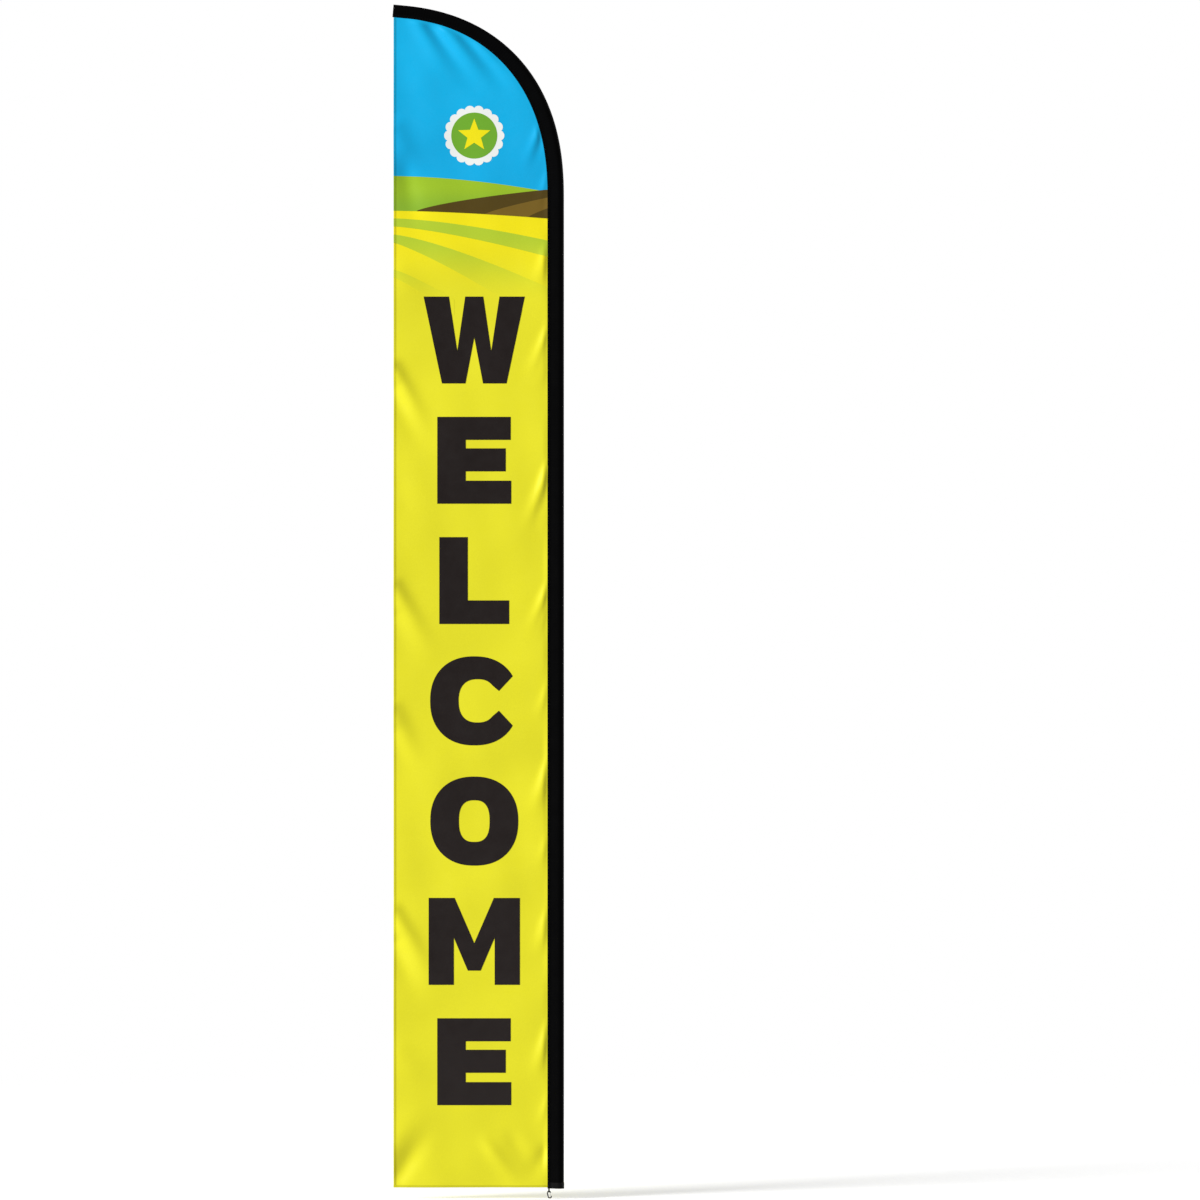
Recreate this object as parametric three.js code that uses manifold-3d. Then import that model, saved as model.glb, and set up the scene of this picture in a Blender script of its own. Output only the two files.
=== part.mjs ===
// A feather flag on a sectional pole. Millimetres, +Z up, origin at the centre of the pole's foot.
// The pole stands on the Z axis and bows over towards -X, where the flag hangs; its front faces -Y.
// Everything is sized from the inside out: tip rod, upper rod, middle tube, lower tube, sleeve.

import * as THREE from "three";
import { mergeVertices } from "three/addons/utils/BufferGeometryUtils.js";
import Module from "manifold-3d";

const wasm = await Module();
wasm.setup();

// ---- Flag outline ----
const FLAG_HEIGHT = 4320; // pole foot to the top of the bow
const FLAG_WIDTH = 622; // free edge to the sleeve's outer edge
const BOW_RISE = 708; // height of the curved top
const BOW_OVERRUN = 71; // the bow's centre lies this far past the free edge
const BOW_POWER = 2.335; // power of the bow's superellipse, where 2 is a plain ellipse
const SLEEVE_WIDTH = 60; // outer edge to seam edge, on the straight
const SLEEVE_TIP_WIDTH = 46; // the same at the tip
const NARROWING_POWER = 1.5; // above 1, the sleeve keeps its width further round the bow
const SEAM_OVERLAP = 12; // the plies run this far into the sleeve's seam
const MOUTH_DROP = 2; // the sleeve's mouth hangs below the pole's foot
const HEM_LIFT = 2; // the plies' bottom edge above the pole's foot

// ---- Fabric ----
const PLY = 0.4; // one layer of printed knit or of blockout liner
const SLEEVE_WALL = 1; // sleeve cloth, doubled at its turnings
const BAND_WALL = 0.8; // binding round the sleeve's mouth
const BAND_HEIGHT = 22;
const POCKET_WALL = 1.2; // webbing cup that takes the pole's thrust
const POCKET_LENGTH = 45;

// ---- Pole ----
const TIP_ROD_RADIUS = 6.2; // where it plugs into the upper rod
const TIP_END_RADIUS = 3.5;
const UPPER_ROD_WALL = 3;
const REDUCER_WALL = 1.7;
const MIDDLE_TUBE_WALL = 1.4;
const LOWER_TUBE_WALL = 1.5;
const FERRULE_WALL = 0.8;
const FERRULE_HEIGHT = 40;
const COLLAR_HEIGHT = 12;
const ENGAGEMENT = 100; // length of each plug joint
const TIP_LEAD = 108; // straight length of the tip rod below the bow
const RIVET_RADIUS = 1.6;
const SCREW_DEPTH = 2; // how far the tip collar's screw sinks into the rod
const CAP_WALL = 1.7; // rubber cap on the tip rod
const CAP_END = 4;
const CAP_LENGTH = 22;

// ---- Foot ----
const BUSH_WALL = 2.2;
const BUSH_LENGTH = 85;
const BUSH_FLANGE = 3;
const WASHER_THICKNESS = 1;
const HOUSING_ROOF = 8; // above the bush, where the housing steps in to its spigot
const HOUSING_SPIGOT = 34; // length that plugs into the lower tube

// ---- Clip ----
const HOOK_LENGTH = 29; // over its two round ends
const HOOK_WIDTH = 16;
const HOOK_BAR_RADIUS = 2.1;
const HOOK_TILT = THREE.MathUtils.degToRad(13.8); // its nose leans away from the flag
const WIRE_RADIUS = 0.8;
const PIVOT_BOSS_RADIUS = 2.3;
const TAB_SIDE_ROOM = 1.1; // the tab is this much narrower than the hook's eye, each side
const TAB_THICKNESS = 1;
const TAB_SEWN = 14; // the tab's legs are sewn on up to this height
const TAB_DROP = 14.5; // sleeve mouth to the bottom of the tab's loop

// ---- Clearances ----
const GAP = 0.3; // between pieces that lie against each other
const PIN_GAP = 0.25; // round a pin or wire in its hole

// ---- Facets ----
const ROUND = 24;
const SLEEVE_ARC_POINTS = 16;
const BOW_STEPS = 22;
const ROD_SIDES = 16;
const ROD_STEPS = 26;
const HOOK_SIDES = 12;
const HOOK_STEPS = 44;
const WIRE_SIDES = 8;
const WIRE_STEPS = 44;

// ---- Sizes that follow, from the inside out ----
const upperBore = TIP_ROD_RADIUS + GAP;
const upperRadius = upperBore + UPPER_ROD_WALL;
const reducerBore = upperRadius + GAP;
const reducerRadius = reducerBore + REDUCER_WALL;
const middleBore = reducerRadius + GAP;
const middleRadius = middleBore + MIDDLE_TUBE_WALL;
const lowerBore = middleRadius + GAP;
const lowerRadius = lowerBore + LOWER_TUBE_WALL;
const ferruleBore = lowerRadius + GAP;
const ferruleRadius = ferruleBore + FERRULE_WALL;
const pocketRadius = ferruleRadius + GAP; // inside of the sleeve, on the straight
const capRadius = TIP_END_RADIUS + GAP + CAP_WALL;
const cupBore = capRadius + GAP;
const cupRadius = cupBore + POCKET_WALL;
const tipPocketRadius = cupRadius + GAP; // inside of the sleeve, at the tip

const outerEdge = pocketRadius + SLEEVE_WALL;
const freeEdge = outerEdge - FLAG_WIDTH;
const bowBase = FLAG_HEIGHT - BOW_RISE;
const bowReach = FLAG_WIDTH + BOW_OVERRUN;
const bowCentre = outerEdge - bowReach;
const sectionLength = (bowBase - TIP_LEAD) / 3;
const collarRivetHeight = GAP + COLLAR_HEIGHT / 2; // above the joint
const seamHalf = 1.5 * PLY + 2 * GAP; // inside of the seam, over three plies

const bushRadius = lowerBore - GAP;
const bushBore = bushRadius - BUSH_WALL;
const housingFoot = BUSH_FLANGE + GAP + WASHER_THICKNESS + GAP;
const housingTop = BUSH_LENGTH + GAP + HOUSING_ROOF;

// ---- Materials ----
const finish = (color, roughness, metalness = 0) =>
  new THREE.MeshStandardMaterial({ color, roughness, metalness });
const printedKnit = () => finish(0xe7e432, 0.85);
const blackCloth = () => finish(0x0b0b0c, 0.9);
const webbing = () => finish(0x141415, 0.85);
const aluminium = () => finish(0xb9bcc0, 0.35, 1);
const steel = () => finish(0xa8abae, 0.3, 1);
const composite = () => finish(0x191a1b, 0.4);
const nylon = () => finish(0x232426, 0.55);

// ---- Shape helpers ----

// A solid of revolution about +Z from its half profile, [radius, height] pairs counter-clockwise.
function turned(profile) {
  const points = profile.map(([radius, height]) => new THREE.Vector2(radius, height));
  return new THREE.LatheGeometry(points, ROUND).rotateX(Math.PI / 2);
}

function tube(inner, outer, low, high) {
  return turned([[inner, low], [outer, low], [outer, high], [inner, high], [inner, low]]);
}

// A cup that opens downwards: its closed end is at `top`.
function cup(inner, outer, low, top, endThickness) {
  const roof = top - endThickness;
  return turned([[inner, low], [outer, low], [outer, top], [0, top], [0, roof], [inner, roof], [inner, low]]);
}

// A closed surface through a row of sections: rings of points that run counter-clockwise seen from
// the side they travel to. `outline` is the same ring as flat points, and shapes the two end caps.
function loft(sections, outline) {
  const ring = outline.length;
  const last = (sections.length - 1) * ring;
  const index = [];
  for (let s = 0; s < last; s += ring) {
    for (let k = 0; k < ring; k++) {
      const a = s + k;
      const b = s + ((k + 1) % ring);
      index.push(a, b, b + ring, a, b + ring, a + ring);
    }
  }
  for (const [a, b, c] of THREE.ShapeUtils.triangulateShape(outline, [])) {
    index.push(c, b, a, last + a, last + b, last + c);
  }
  return new THREE.BufferGeometry().setFromPoints(sections.flat()).setIndex(index);
}

// A round bar along a curve.
function bar(curve, radius, sides, steps) {
  const section = new THREE.Shape();
  section.setFromPoints(
    Array.from({ length: sides }, (_, k) => {
      const angle = (2 * Math.PI * k) / sides;
      return new THREE.Vector2(radius * Math.cos(angle), radius * Math.sin(angle));
    }),
  );
  return new THREE.ExtrudeGeometry(section, { steps, extrudePath: curve, bevelEnabled: false });
}

// A cylinder along the Y axis, centred at x, z.
function pin(radius, fromY, toY, x, z) {
  const length = toY - fromY;
  return new THREE.CylinderGeometry(radius, radius, length, ROUND).translate(x, fromY + length / 2, z);
}

function solidOf(geometry) {
  const bare = new THREE.BufferGeometry().setAttribute("position", geometry.getAttribute("position"));
  bare.setIndex(geometry.getIndex());
  const merged = mergeVertices(bare, 1e-4);
  return new wasm.Manifold(
    new wasm.Mesh({
      numProp: 3,
      vertProperties: merged.attributes.position.array,
      triVerts: new Uint32Array(merged.index.array),
    }),
  );
}

function geometryOf(solid) {
  const { vertProperties, triVerts } = solid.getMesh();
  return new THREE.BufferGeometry()
    .setAttribute("position", new THREE.BufferAttribute(vertProperties, 3))
    .setIndex(new THREE.BufferAttribute(triVerts, 1));
}

const cut = (body, tool) => geometryOf(solidOf(body).subtract(solidOf(tool)));
const joined = (body, extra) => geometryOf(solidOf(body).add(solidOf(extra)));

function addPiece(group, name, geometry, material) {
  const mesh = new THREE.Mesh(geometry, material);
  mesh.name = name;
  group.add(mesh);
  return mesh;
}

// ---- The bow ----

// The angle round the bow at which its outer edge has reached `x`.
const bowAngle = (x) => Math.acos(((x - bowCentre) / bowReach) ** (BOW_POWER / 2));
const bowEnd = bowAngle(freeEdge);
const pocketStart = bowAngle(freeEdge + POCKET_LENGTH); // the bow is straight from here to its end
const bowAngles = Array.from({ length: BOW_STEPS + 1 }, (_, k) => (pocketStart * k) / BOW_STEPS);
bowAngles.push(bowEnd);

// The sleeve's outer edge and its outward direction at an angle round the bow.
function bowEdge(angle) {
  const round = Math.min(angle, pocketStart);
  const across = Math.cos(round) ** (2 / BOW_POWER);
  const up = Math.sin(round) ** (2 / BOW_POWER);
  const normal = new THREE.Vector3(
    across ** (BOW_POWER - 1) / bowReach,
    0,
    up ** (BOW_POWER - 1) / BOW_RISE,
  ).normalize();
  const point = new THREE.Vector3(bowCentre + bowReach * across, 0, bowBase + BOW_RISE * up);
  const along = new THREE.Vector3(-normal.z, 0, normal.x);
  point.addScaledVector(along, (POCKET_LENGTH * (angle - round)) / (bowEnd - pocketStart));
  return { point, normal };
}

// The sleeve narrows along the bow, most of all in its second half.
function narrowing(angle) {
  const share = Math.min(1, angle / pocketStart);
  return 0.5 - 0.5 * Math.cos(Math.PI * share ** NARROWING_POWER);
}
const sleeveWidthAt = (angle) => THREE.MathUtils.lerp(SLEEVE_WIDTH, SLEEVE_TIP_WIDTH, narrowing(angle));
const pocketAt = (angle) => THREE.MathUtils.lerp(pocketRadius, tipPocketRadius, narrowing(angle));

// The pole's centre line along the bow.
class BowLine extends THREE.Curve {
  getPoint(t, target = new THREE.Vector3()) {
    const { point, normal } = bowEdge(t * bowEnd);
    return target.copy(point).addScaledVector(normal, -pocketAt(t * bowEnd) - SLEEVE_WALL);
  }
}
const bowLine = new BowLine();

// ---- Sleeve ----

// One skin of the sleeve's section, from its seam round the pole and back, `offset` outside its
// inner face. Across is +X at the foot, and the pole is at the section's origin.
function sleeveSkin(pocket, width, offset) {
  const seamEdge = pocket + SLEEVE_WALL - width;
  const height = seamHalf + offset;
  const radius = pocket + offset;
  const fork = new THREE.Vector2(seamEdge + SEAM_OVERLAP, height);
  const leaves = Math.atan2(fork.y, fork.x) - Math.acos(radius / fork.length());
  const round = Array.from({ length: SLEEVE_ARC_POINTS + 1 }, (_, k) => {
    const angle = leaves * ((2 * k) / SLEEVE_ARC_POINTS - 1);
    return new THREE.Vector2(radius * Math.cos(angle), radius * Math.sin(angle));
  });
  return [
    new THREE.Vector2(seamEdge, -height),
    new THREE.Vector2(fork.x, -height),
    ...round,
    fork,
    new THREE.Vector2(seamEdge, height),
  ];
}

function sleeveOutline(pocket, width, near, far) {
  return [...sleeveSkin(pocket, width, far), ...sleeveSkin(pocket, width, near).reverse()];
}

function sleeveGeometry() {
  const section = (pocket, width, centre, across) =>
    sleeveOutline(pocket, width, 0, SLEEVE_WALL).map(
      (p) => new THREE.Vector3(0, p.y, 0).addScaledVector(across, p.x).add(centre),
    );
  const straight = new THREE.Vector3(1, 0, 0);
  const sections = [
    section(pocketRadius, SLEEVE_WIDTH, new THREE.Vector3(0, 0, -MOUTH_DROP), straight),
  ];
  for (const angle of bowAngles) {
    const centre = bowLine.getPoint(angle / bowEnd);
    sections.push(section(pocketAt(angle), sleeveWidthAt(angle), centre, bowEdge(angle).normal));
  }
  return loft(sections, sleeveOutline(pocketRadius, SLEEVE_WIDTH, 0, SLEEVE_WALL));
}

function mouthBandGeometry() {
  const near = SLEEVE_WALL + GAP;
  const outline = sleeveOutline(pocketRadius, SLEEVE_WIDTH, near, near + BAND_WALL);
  return new THREE.ExtrudeGeometry(new THREE.Shape(outline), {
    depth: BAND_HEIGHT,
    bevelEnabled: false,
  }).translate(0, 0, -MOUTH_DROP);
}

// ---- Plies ----

// The outline of a ply in the X-Z plane: up the sleeve's seam, over the bow and down the free edge.
function plyShape() {
  const seam = bowAngles.map((angle) => {
    const { point, normal } = bowEdge(angle);
    point.addScaledVector(normal, SEAM_OVERLAP - sleeveWidthAt(angle));
    return new THREE.Vector2(Math.max(point.x, freeEdge), point.z);
  });
  return new THREE.Shape([
    new THREE.Vector2(freeEdge, HEM_LIFT),
    new THREE.Vector2(outerEdge - SLEEVE_WIDTH + SEAM_OVERLAP, HEM_LIFT),
    ...seam,
  ]);
}

function plyGeometry() {
  return new THREE.ExtrudeGeometry(plyShape(), { depth: PLY, bevelEnabled: false })
    .rotateX(Math.PI / 2)
    .translate(0, PLY / 2, 0);
}

// ---- Tip ----

// A tapered rod from the plug joint up the straight and along the bow. Inside its cap, from `capMouth`
// to `end` short of the sleeve's end, it is straight.
function tipRodGeometry(capMouth, end) {
  const bowLength = bowLine.getLength();
  const circle = Array.from({ length: ROD_SIDES }, (_, k) => {
    const angle = (2 * Math.PI * k) / ROD_SIDES;
    return new THREE.Vector2(Math.cos(angle), Math.sin(angle));
  });
  const section = (centre, along, pastPlug) => {
    const taper = Math.min(1, pastPlug / (TIP_LEAD + bowLength - capMouth));
    const radius = THREE.MathUtils.lerp(TIP_ROD_RADIUS, TIP_END_RADIUS, taper);
    const across = new THREE.Vector3(along.z, 0, -along.x).multiplyScalar(radius);
    return circle.map((c) => centre.clone().addScaledVector(across, c.x).setY(radius * c.y));
  };
  const up = new THREE.Vector3(0, 0, 1);
  const plugTop = new THREE.Vector3(0, 0, bowBase - TIP_LEAD);
  const sections = [section(plugTop.clone().addScaledVector(up, -ENGAGEMENT), up, 0), section(plugTop, up, 0)];
  for (let step = 0; step <= ROD_STEPS; step++) {
    const share = ((1 - POCKET_LENGTH / bowLength) * step) / ROD_STEPS;
    const pastPlug = TIP_LEAD + share * bowLength;
    sections.push(section(bowLine.getPointAt(share), bowLine.getTangentAt(share), pastPlug));
  }
  const tipAxis = bowLine.getTangentAt(1);
  for (const short of [capMouth, end]) {
    const centre = bowLine.getPointAt(1).addScaledVector(tipAxis, -short);
    sections.push(section(centre, tipAxis, TIP_LEAD + bowLength - short));
  }
  return loft(sections, circle);
}

// A group whose +Z points along the bow's end, with its origin on the sleeve's end.
function tipGroup() {
  const group = new THREE.Group();
  group.position.copy(bowLine.getPointAt(1));
  group.quaternion.setFromUnitVectors(new THREE.Vector3(0, 0, 1), bowLine.getTangentAt(1));
  return group;
}

// ---- Clip ----

const hookBend = HOOK_WIDTH / 2 - HOOK_BAR_RADIUS; // middle of the bar, round both ends
const hookEye = hookBend - HOOK_BAR_RADIUS; // inside of both round ends
const tabWidth = 2 * (hookEye - TAB_SIDE_ROOM);
const hookSpan = HOOK_LENGTH - HOOK_WIDTH; // between the centres of its two round ends
const NOSE_SHORT = 0.12; // the nose stops this angle short of a half turn
const wireStand = HOOK_BAR_RADIUS + GAP + WIRE_RADIUS; // gate wires run beside the bar

// The hook's own frame has its origin at the centre of its upper bend, with the nose below.
function hookBodyGeometry() {
  const line = new THREE.Path();
  line.absarc(0, 0, hookBend, 0, Math.PI, false);
  line.lineTo(-hookBend, -hookSpan);
  line.absarc(0, -hookSpan, hookBend, Math.PI, 2 * Math.PI - NOSE_SHORT, false);
  const points = line.getSpacedPoints(HOOK_STEPS).map((p) => new THREE.Vector3(p.x, 0, p.y));
  const body = bar(new THREE.CatmullRomCurve3(points), HOOK_BAR_RADIUS, HOOK_SIDES, HOOK_STEPS);
  const boss = pin(PIVOT_BOSS_RADIUS, -HOOK_BAR_RADIUS, HOOK_BAR_RADIUS, hookBend, 0);
  const hole = pin(WIRE_RADIUS + PIN_GAP, -HOOK_WIDTH, HOOK_WIDTH, hookBend, 0);
  return cut(joined(body, boss), hole);
}

// The gate is one bent wire: its two ends turn in through the hook's pivot hole, its legs run down
// beside the bar, and the bight that joins them closes against the inside of the nose.
function wireGateGeometry() {
  const bightX = hookBend - wireStand;
  const bightZ = -hookSpan + WIRE_RADIUS;
  const endY = HOOK_BAR_RADIUS / 3;
  const leg = (side) => [
    new THREE.Vector3(hookBend, side * endY, 0),
    new THREE.Vector3(hookBend, side * (wireStand - WIRE_RADIUS), 0),
    new THREE.Vector3(hookBend - 0.1 * wireStand, side * wireStand, -WIRE_RADIUS),
    new THREE.Vector3(hookBend - 0.5 * wireStand, side * wireStand, 0.5 * bightZ),
    new THREE.Vector3(bightX + 0.1 * wireStand, side * wireStand, 0.9 * bightZ),
    new THREE.Vector3(bightX, side * (wireStand - WIRE_RADIUS), bightZ),
  ];
  const points = [...leg(-1), ...leg(1).reverse()];
  return bar(new THREE.CatmullRomCurve3(points), WIRE_RADIUS, WIRE_SIDES, WIRE_STEPS);
}

// A strap that is folded under the hook's upper bend and sewn to both sides of the sleeve's mouth.
function hookTabGeometry() {
  const inner = seamHalf + SLEEVE_WALL + GAP + BAND_WALL + GAP;
  const outer = inner + TAB_THICKNESS;
  const bend = outer - MOUTH_DROP - TAB_DROP;
  const strap = new THREE.Shape();
  strap.moveTo(-outer, TAB_SEWN);
  strap.lineTo(-outer, bend);
  strap.absarc(0, bend, outer, Math.PI, 2 * Math.PI, false);
  strap.lineTo(outer, TAB_SEWN);
  strap.lineTo(inner, TAB_SEWN);
  strap.lineTo(inner, bend);
  strap.absarc(0, bend, inner, 0, -Math.PI, true);
  strap.lineTo(-inner, TAB_SEWN);
  const turn = new THREE.Matrix4().makeBasis(
    new THREE.Vector3(0, 1, 0),
    new THREE.Vector3(0, 0, 1),
    new THREE.Vector3(1, 0, 0),
  );
  return new THREE.ExtrudeGeometry(strap, { depth: tabWidth, bevelEnabled: false, curveSegments: 8 })
    .translate(0, 0, -tabWidth / 2)
    .applyMatrix4(turn);
}

// ---- Assemblies ----

function footAssembly() {
  const foot = new THREE.Group();
  const profile = [
    [bushBore, 0],
    [lowerRadius, 0],
    [lowerRadius, BUSH_FLANGE],
    [bushRadius, BUSH_FLANGE],
    [bushRadius, BUSH_LENGTH],
    [bushBore, BUSH_LENGTH],
    [bushBore, 0],
  ];
  addPiece(foot, "swivel_bush", turned(profile), nylon());
  const washer = addPiece(foot, "thrust_washer", tube(lowerBore, lowerRadius, 0, WASHER_THICKNESS), steel());
  washer.position.z = BUSH_FLANGE + GAP;
  return foot;
}

// The housing turns on the bush and carries the lower tube on a riveted spigot.
function lowerSection() {
  const section = new THREE.Group();
  const rivetHeight = housingTop + HOUSING_SPIGOT / 2;
  const housing = turned([
    [lowerBore, housingFoot],
    [lowerRadius, housingFoot],
    [lowerRadius, housingTop],
    [bushRadius, housingTop],
    [bushRadius, housingTop + HOUSING_SPIGOT],
    [bushBore, housingTop + HOUSING_SPIGOT],
    [bushBore, BUSH_LENGTH + GAP],
    [lowerBore, BUSH_LENGTH + GAP],
    [lowerBore, housingFoot],
  ]);
  addPiece(section, "foot_housing", drilled(housing, bushRadius, rivetHeight), aluminium());
  const body = tube(lowerBore, lowerRadius, housingTop + GAP, sectionLength);
  addPiece(section, "lower_tube", drilled(body, lowerRadius, rivetHeight), aluminium());
  addPiece(section, "foot_housing_rivet", rivet(bushBore, lowerRadius, rivetHeight), steel());
  const ferrule = tube(ferruleBore, ferruleRadius, -FERRULE_HEIGHT, 0);
  addPiece(section, "lower_ferrule", ferrule, steel()).position.z = sectionLength;
  return section;
}

// A stop collar with its rivet hole, resting on the mouth of the section below.
function collar(bore, radius) {
  return drilled(tube(bore, radius, GAP, GAP + COLLAR_HEIGHT), radius, collarRivetHeight);
}

// A rivet's hole through the front wall of a piece of that outer radius.
function drilled(body, radius, height) {
  return cut(body, pin(RIVET_RADIUS + PIN_GAP, -2 * radius, 0, 0, height));
}

function rivet(fromRadius, toRadius, height) {
  return pin(RIVET_RADIUS, -toRadius, -fromRadius, 0, height);
}

function middleSection() {
  const section = new THREE.Group();
  const body = tube(middleBore, middleRadius, -ENGAGEMENT, sectionLength);
  addPiece(section, "middle_tube", drilled(body, middleRadius, collarRivetHeight), aluminium());
  addPiece(section, "middle_collar", collar(lowerBore, ferruleRadius), nylon());
  addPiece(section, "middle_collar_rivet", rivet(middleBore, ferruleRadius, collarRivetHeight), steel());
  const ferrule = tube(lowerBore, lowerBore + FERRULE_WALL, -FERRULE_HEIGHT, 0);
  addPiece(section, "middle_ferrule", ferrule, steel()).position.z = sectionLength;
  return section;
}

function upperSection() {
  const section = new THREE.Group();
  const body = tube(upperBore, upperRadius, -ENGAGEMENT, sectionLength);
  addPiece(section, "upper_rod", drilled(body, upperRadius, collarRivetHeight), composite());
  addPiece(section, "upper_reducer", tube(reducerBore, reducerRadius, -ENGAGEMENT, -GAP), nylon());
  addPiece(section, "upper_collar", collar(reducerBore, lowerBore + FERRULE_WALL), nylon());
  addPiece(section, "upper_collar_rivet", rivet(upperBore, lowerBore + FERRULE_WALL, collarRivetHeight), steel());
  const ferrule = tube(reducerBore, reducerBore + FERRULE_WALL, -FERRULE_HEIGHT, 0);
  addPiece(section, "upper_ferrule", ferrule, steel()).position.z = sectionLength;
  return section;
}

function tipSection() {
  const section = new THREE.Group();
  const capStart = POCKET_WALL + GAP; // sleeve's end to the cap's end
  const rodEnd = capStart + CAP_END + GAP;
  const collars = new THREE.Group();
  collars.position.z = 3 * sectionLength;
  const collarRadius = reducerBore + FERRULE_WALL;
  addPiece(collars, "tip_collar", collar(upperBore, collarRadius), nylon());
  const screw = rivet(TIP_ROD_RADIUS - SCREW_DEPTH + PIN_GAP, collarRadius, collarRivetHeight);
  addPiece(collars, "tip_collar_screw", screw, steel());
  const dimple = pin(
    RIVET_RADIUS + PIN_GAP,
    -2 * TIP_ROD_RADIUS,
    SCREW_DEPTH - TIP_ROD_RADIUS,
    0,
    3 * sectionLength + collarRivetHeight,
  );
  addPiece(section, "tip_rod", cut(tipRodGeometry(capStart + CAP_LENGTH, rodEnd), dimple), composite());

  const tip = tipGroup();
  const cap = cup(TIP_END_RADIUS + GAP, capRadius, -capStart - CAP_LENGTH, -capStart, CAP_END);
  addPiece(tip, "tip_cap", cap, nylon());
  addPiece(tip, "tip_pocket", cup(cupBore, cupRadius, -POCKET_LENGTH, 0, POCKET_WALL), webbing());
  section.add(collars, tip);
  return section;
}

function flagAssembly() {
  const flag = new THREE.Group();
  addPiece(flag, "pole_sleeve", sleeveGeometry(), blackCloth());
  addPiece(flag, "sleeve_mouth_band", mouthBandGeometry(), webbing());
  addPiece(flag, "front_panel", plyGeometry(), printedKnit()).position.y = -PLY - GAP;
  addPiece(flag, "blockout_liner", plyGeometry(), finish(0x9a9a98, 0.9));
  addPiece(flag, "back_panel", plyGeometry(), printedKnit()).position.y = PLY + GAP;
  return flag;
}

function clipAssembly() {
  const clip = new THREE.Group();
  const tabX = outerEdge - SLEEVE_WIDTH + tabWidth;
  addPiece(clip, "hook_tab", hookTabGeometry(), webbing()).position.x = tabX;
  // The hook's eye rests on the inside of the tab's loop at the strap's two edges.
  const strapTop = TAB_THICKNESS - MOUTH_DROP - TAB_DROP;
  const eyeHeight = Math.sqrt(hookEye ** 2 - (0.5 * tabWidth) ** 2);
  const hook = new THREE.Group();
  hook.position.set(tabX, 0, strapTop + GAP - eyeHeight);
  hook.rotation.y = -HOOK_TILT;
  addPiece(hook, "hook_body", hookBodyGeometry(), nylon());
  addPiece(hook, "wire_gate", wireGateGeometry(), steel());
  clip.add(hook);
  return clip;
}

const middle = middleSection();
middle.position.z = sectionLength;
const upper = upperSection();
upper.position.z = 2 * sectionLength;

const featherFlag = new THREE.Group();
featherFlag.add(footAssembly(), lowerSection(), middle, upper, tipSection(), flagAssembly(), clipAssembly());

export default featherFlag;
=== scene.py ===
"""A feather flag on a plug-together pole: the cloth, print, stitching, pole and clip as they look.

Every piece is worked out in millimetres in the CAD model's own frame: +Z runs up the pole, the flag
flies towards -X and its front faces -Y. A piece's points are turned to metres as its mesh is made.
"""

from __future__ import annotations

import logging
import math
from dataclasses import dataclass, field, replace
from enum import Enum
from functools import cached_property
from typing import Callable, Optional, Sequence

import bpy
import numpy as np
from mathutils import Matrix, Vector
from mathutils.geometry import delaunay_2d_cdt

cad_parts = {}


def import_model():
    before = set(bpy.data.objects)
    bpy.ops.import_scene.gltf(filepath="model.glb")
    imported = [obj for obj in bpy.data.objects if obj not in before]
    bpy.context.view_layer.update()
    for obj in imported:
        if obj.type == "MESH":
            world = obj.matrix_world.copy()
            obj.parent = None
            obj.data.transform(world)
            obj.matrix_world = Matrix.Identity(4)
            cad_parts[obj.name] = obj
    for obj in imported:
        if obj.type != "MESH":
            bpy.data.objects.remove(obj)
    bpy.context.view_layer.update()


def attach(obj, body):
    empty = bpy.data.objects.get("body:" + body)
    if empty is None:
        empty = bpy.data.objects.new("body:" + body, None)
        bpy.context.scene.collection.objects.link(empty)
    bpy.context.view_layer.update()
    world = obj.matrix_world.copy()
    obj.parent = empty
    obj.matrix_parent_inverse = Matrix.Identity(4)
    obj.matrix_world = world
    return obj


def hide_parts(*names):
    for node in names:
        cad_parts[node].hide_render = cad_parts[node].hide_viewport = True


LOG = logging.getLogger("feather_flag")
MM = 0.001
FRONT = -1.0
BACK = 1.0
Curve = Callable[[np.ndarray], np.ndarray]
Colour = tuple[float, float, float]
Profile = list[tuple[float, float]]
StitchRow = tuple[np.ndarray, np.ndarray]  # points one pitch apart, and the outward direction at each
Socket = bpy.types.NodeSocket
WAVE_REPEAT = 0.31416  # a wave texture repeats as its place times its scale grows by this
# painted shade: HEM_SHADE darkens the print along the flag's free and bottom hems
HEM_SHADE = (0.8, 0.8, 0.74, 1.0)
HEM_SHADE_EDGES = (("X", -0.5965, -0.5945), ("Z", 0.0102, 0.0122))  # where the painted shade of each hem fades out, in metres
END_RINGS = 5  # rings that close each end of a swept bar


def smooth_step(value: np.ndarray) -> np.ndarray:
    """0 below 0, 1 above 1, and the S-curve 3t^2 - 2t^3 between."""
    t = np.clip(value, 0.0, 1.0)
    return t * t * (3.0 - 2.0 * t)


def unit(vectors: np.ndarray) -> np.ndarray:
    """The same directions with length one, along the last axis."""
    length = np.linalg.norm(vectors, axis=-1, keepdims=True)
    return vectors / np.maximum(length, 1e-12)


def run_of(points: np.ndarray) -> np.ndarray:
    """The length along a row of points up to each of them."""
    return np.concatenate([[0.0], np.cumsum(np.linalg.norm(np.diff(points, axis=0), axis=1))])


def full_turn(count: int) -> np.ndarray:
    """Even angles round a circle, the first at 0."""
    return np.linspace(0.0, 2.0 * math.pi, count, endpoint=False)


def directions(angle: np.ndarray) -> np.ndarray:
    """The cosine and sine of each angle, side by side."""
    return np.stack([np.cos(angle), np.sin(angle)], axis=-1)


def cloth_places(across: np.ndarray, along: np.ndarray) -> np.ndarray:
    """Places on the flat cloth in metres, from lengths in millimetres that broadcast."""
    return np.stack(np.broadcast_arrays(across, along), axis=-1) * MM


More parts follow.
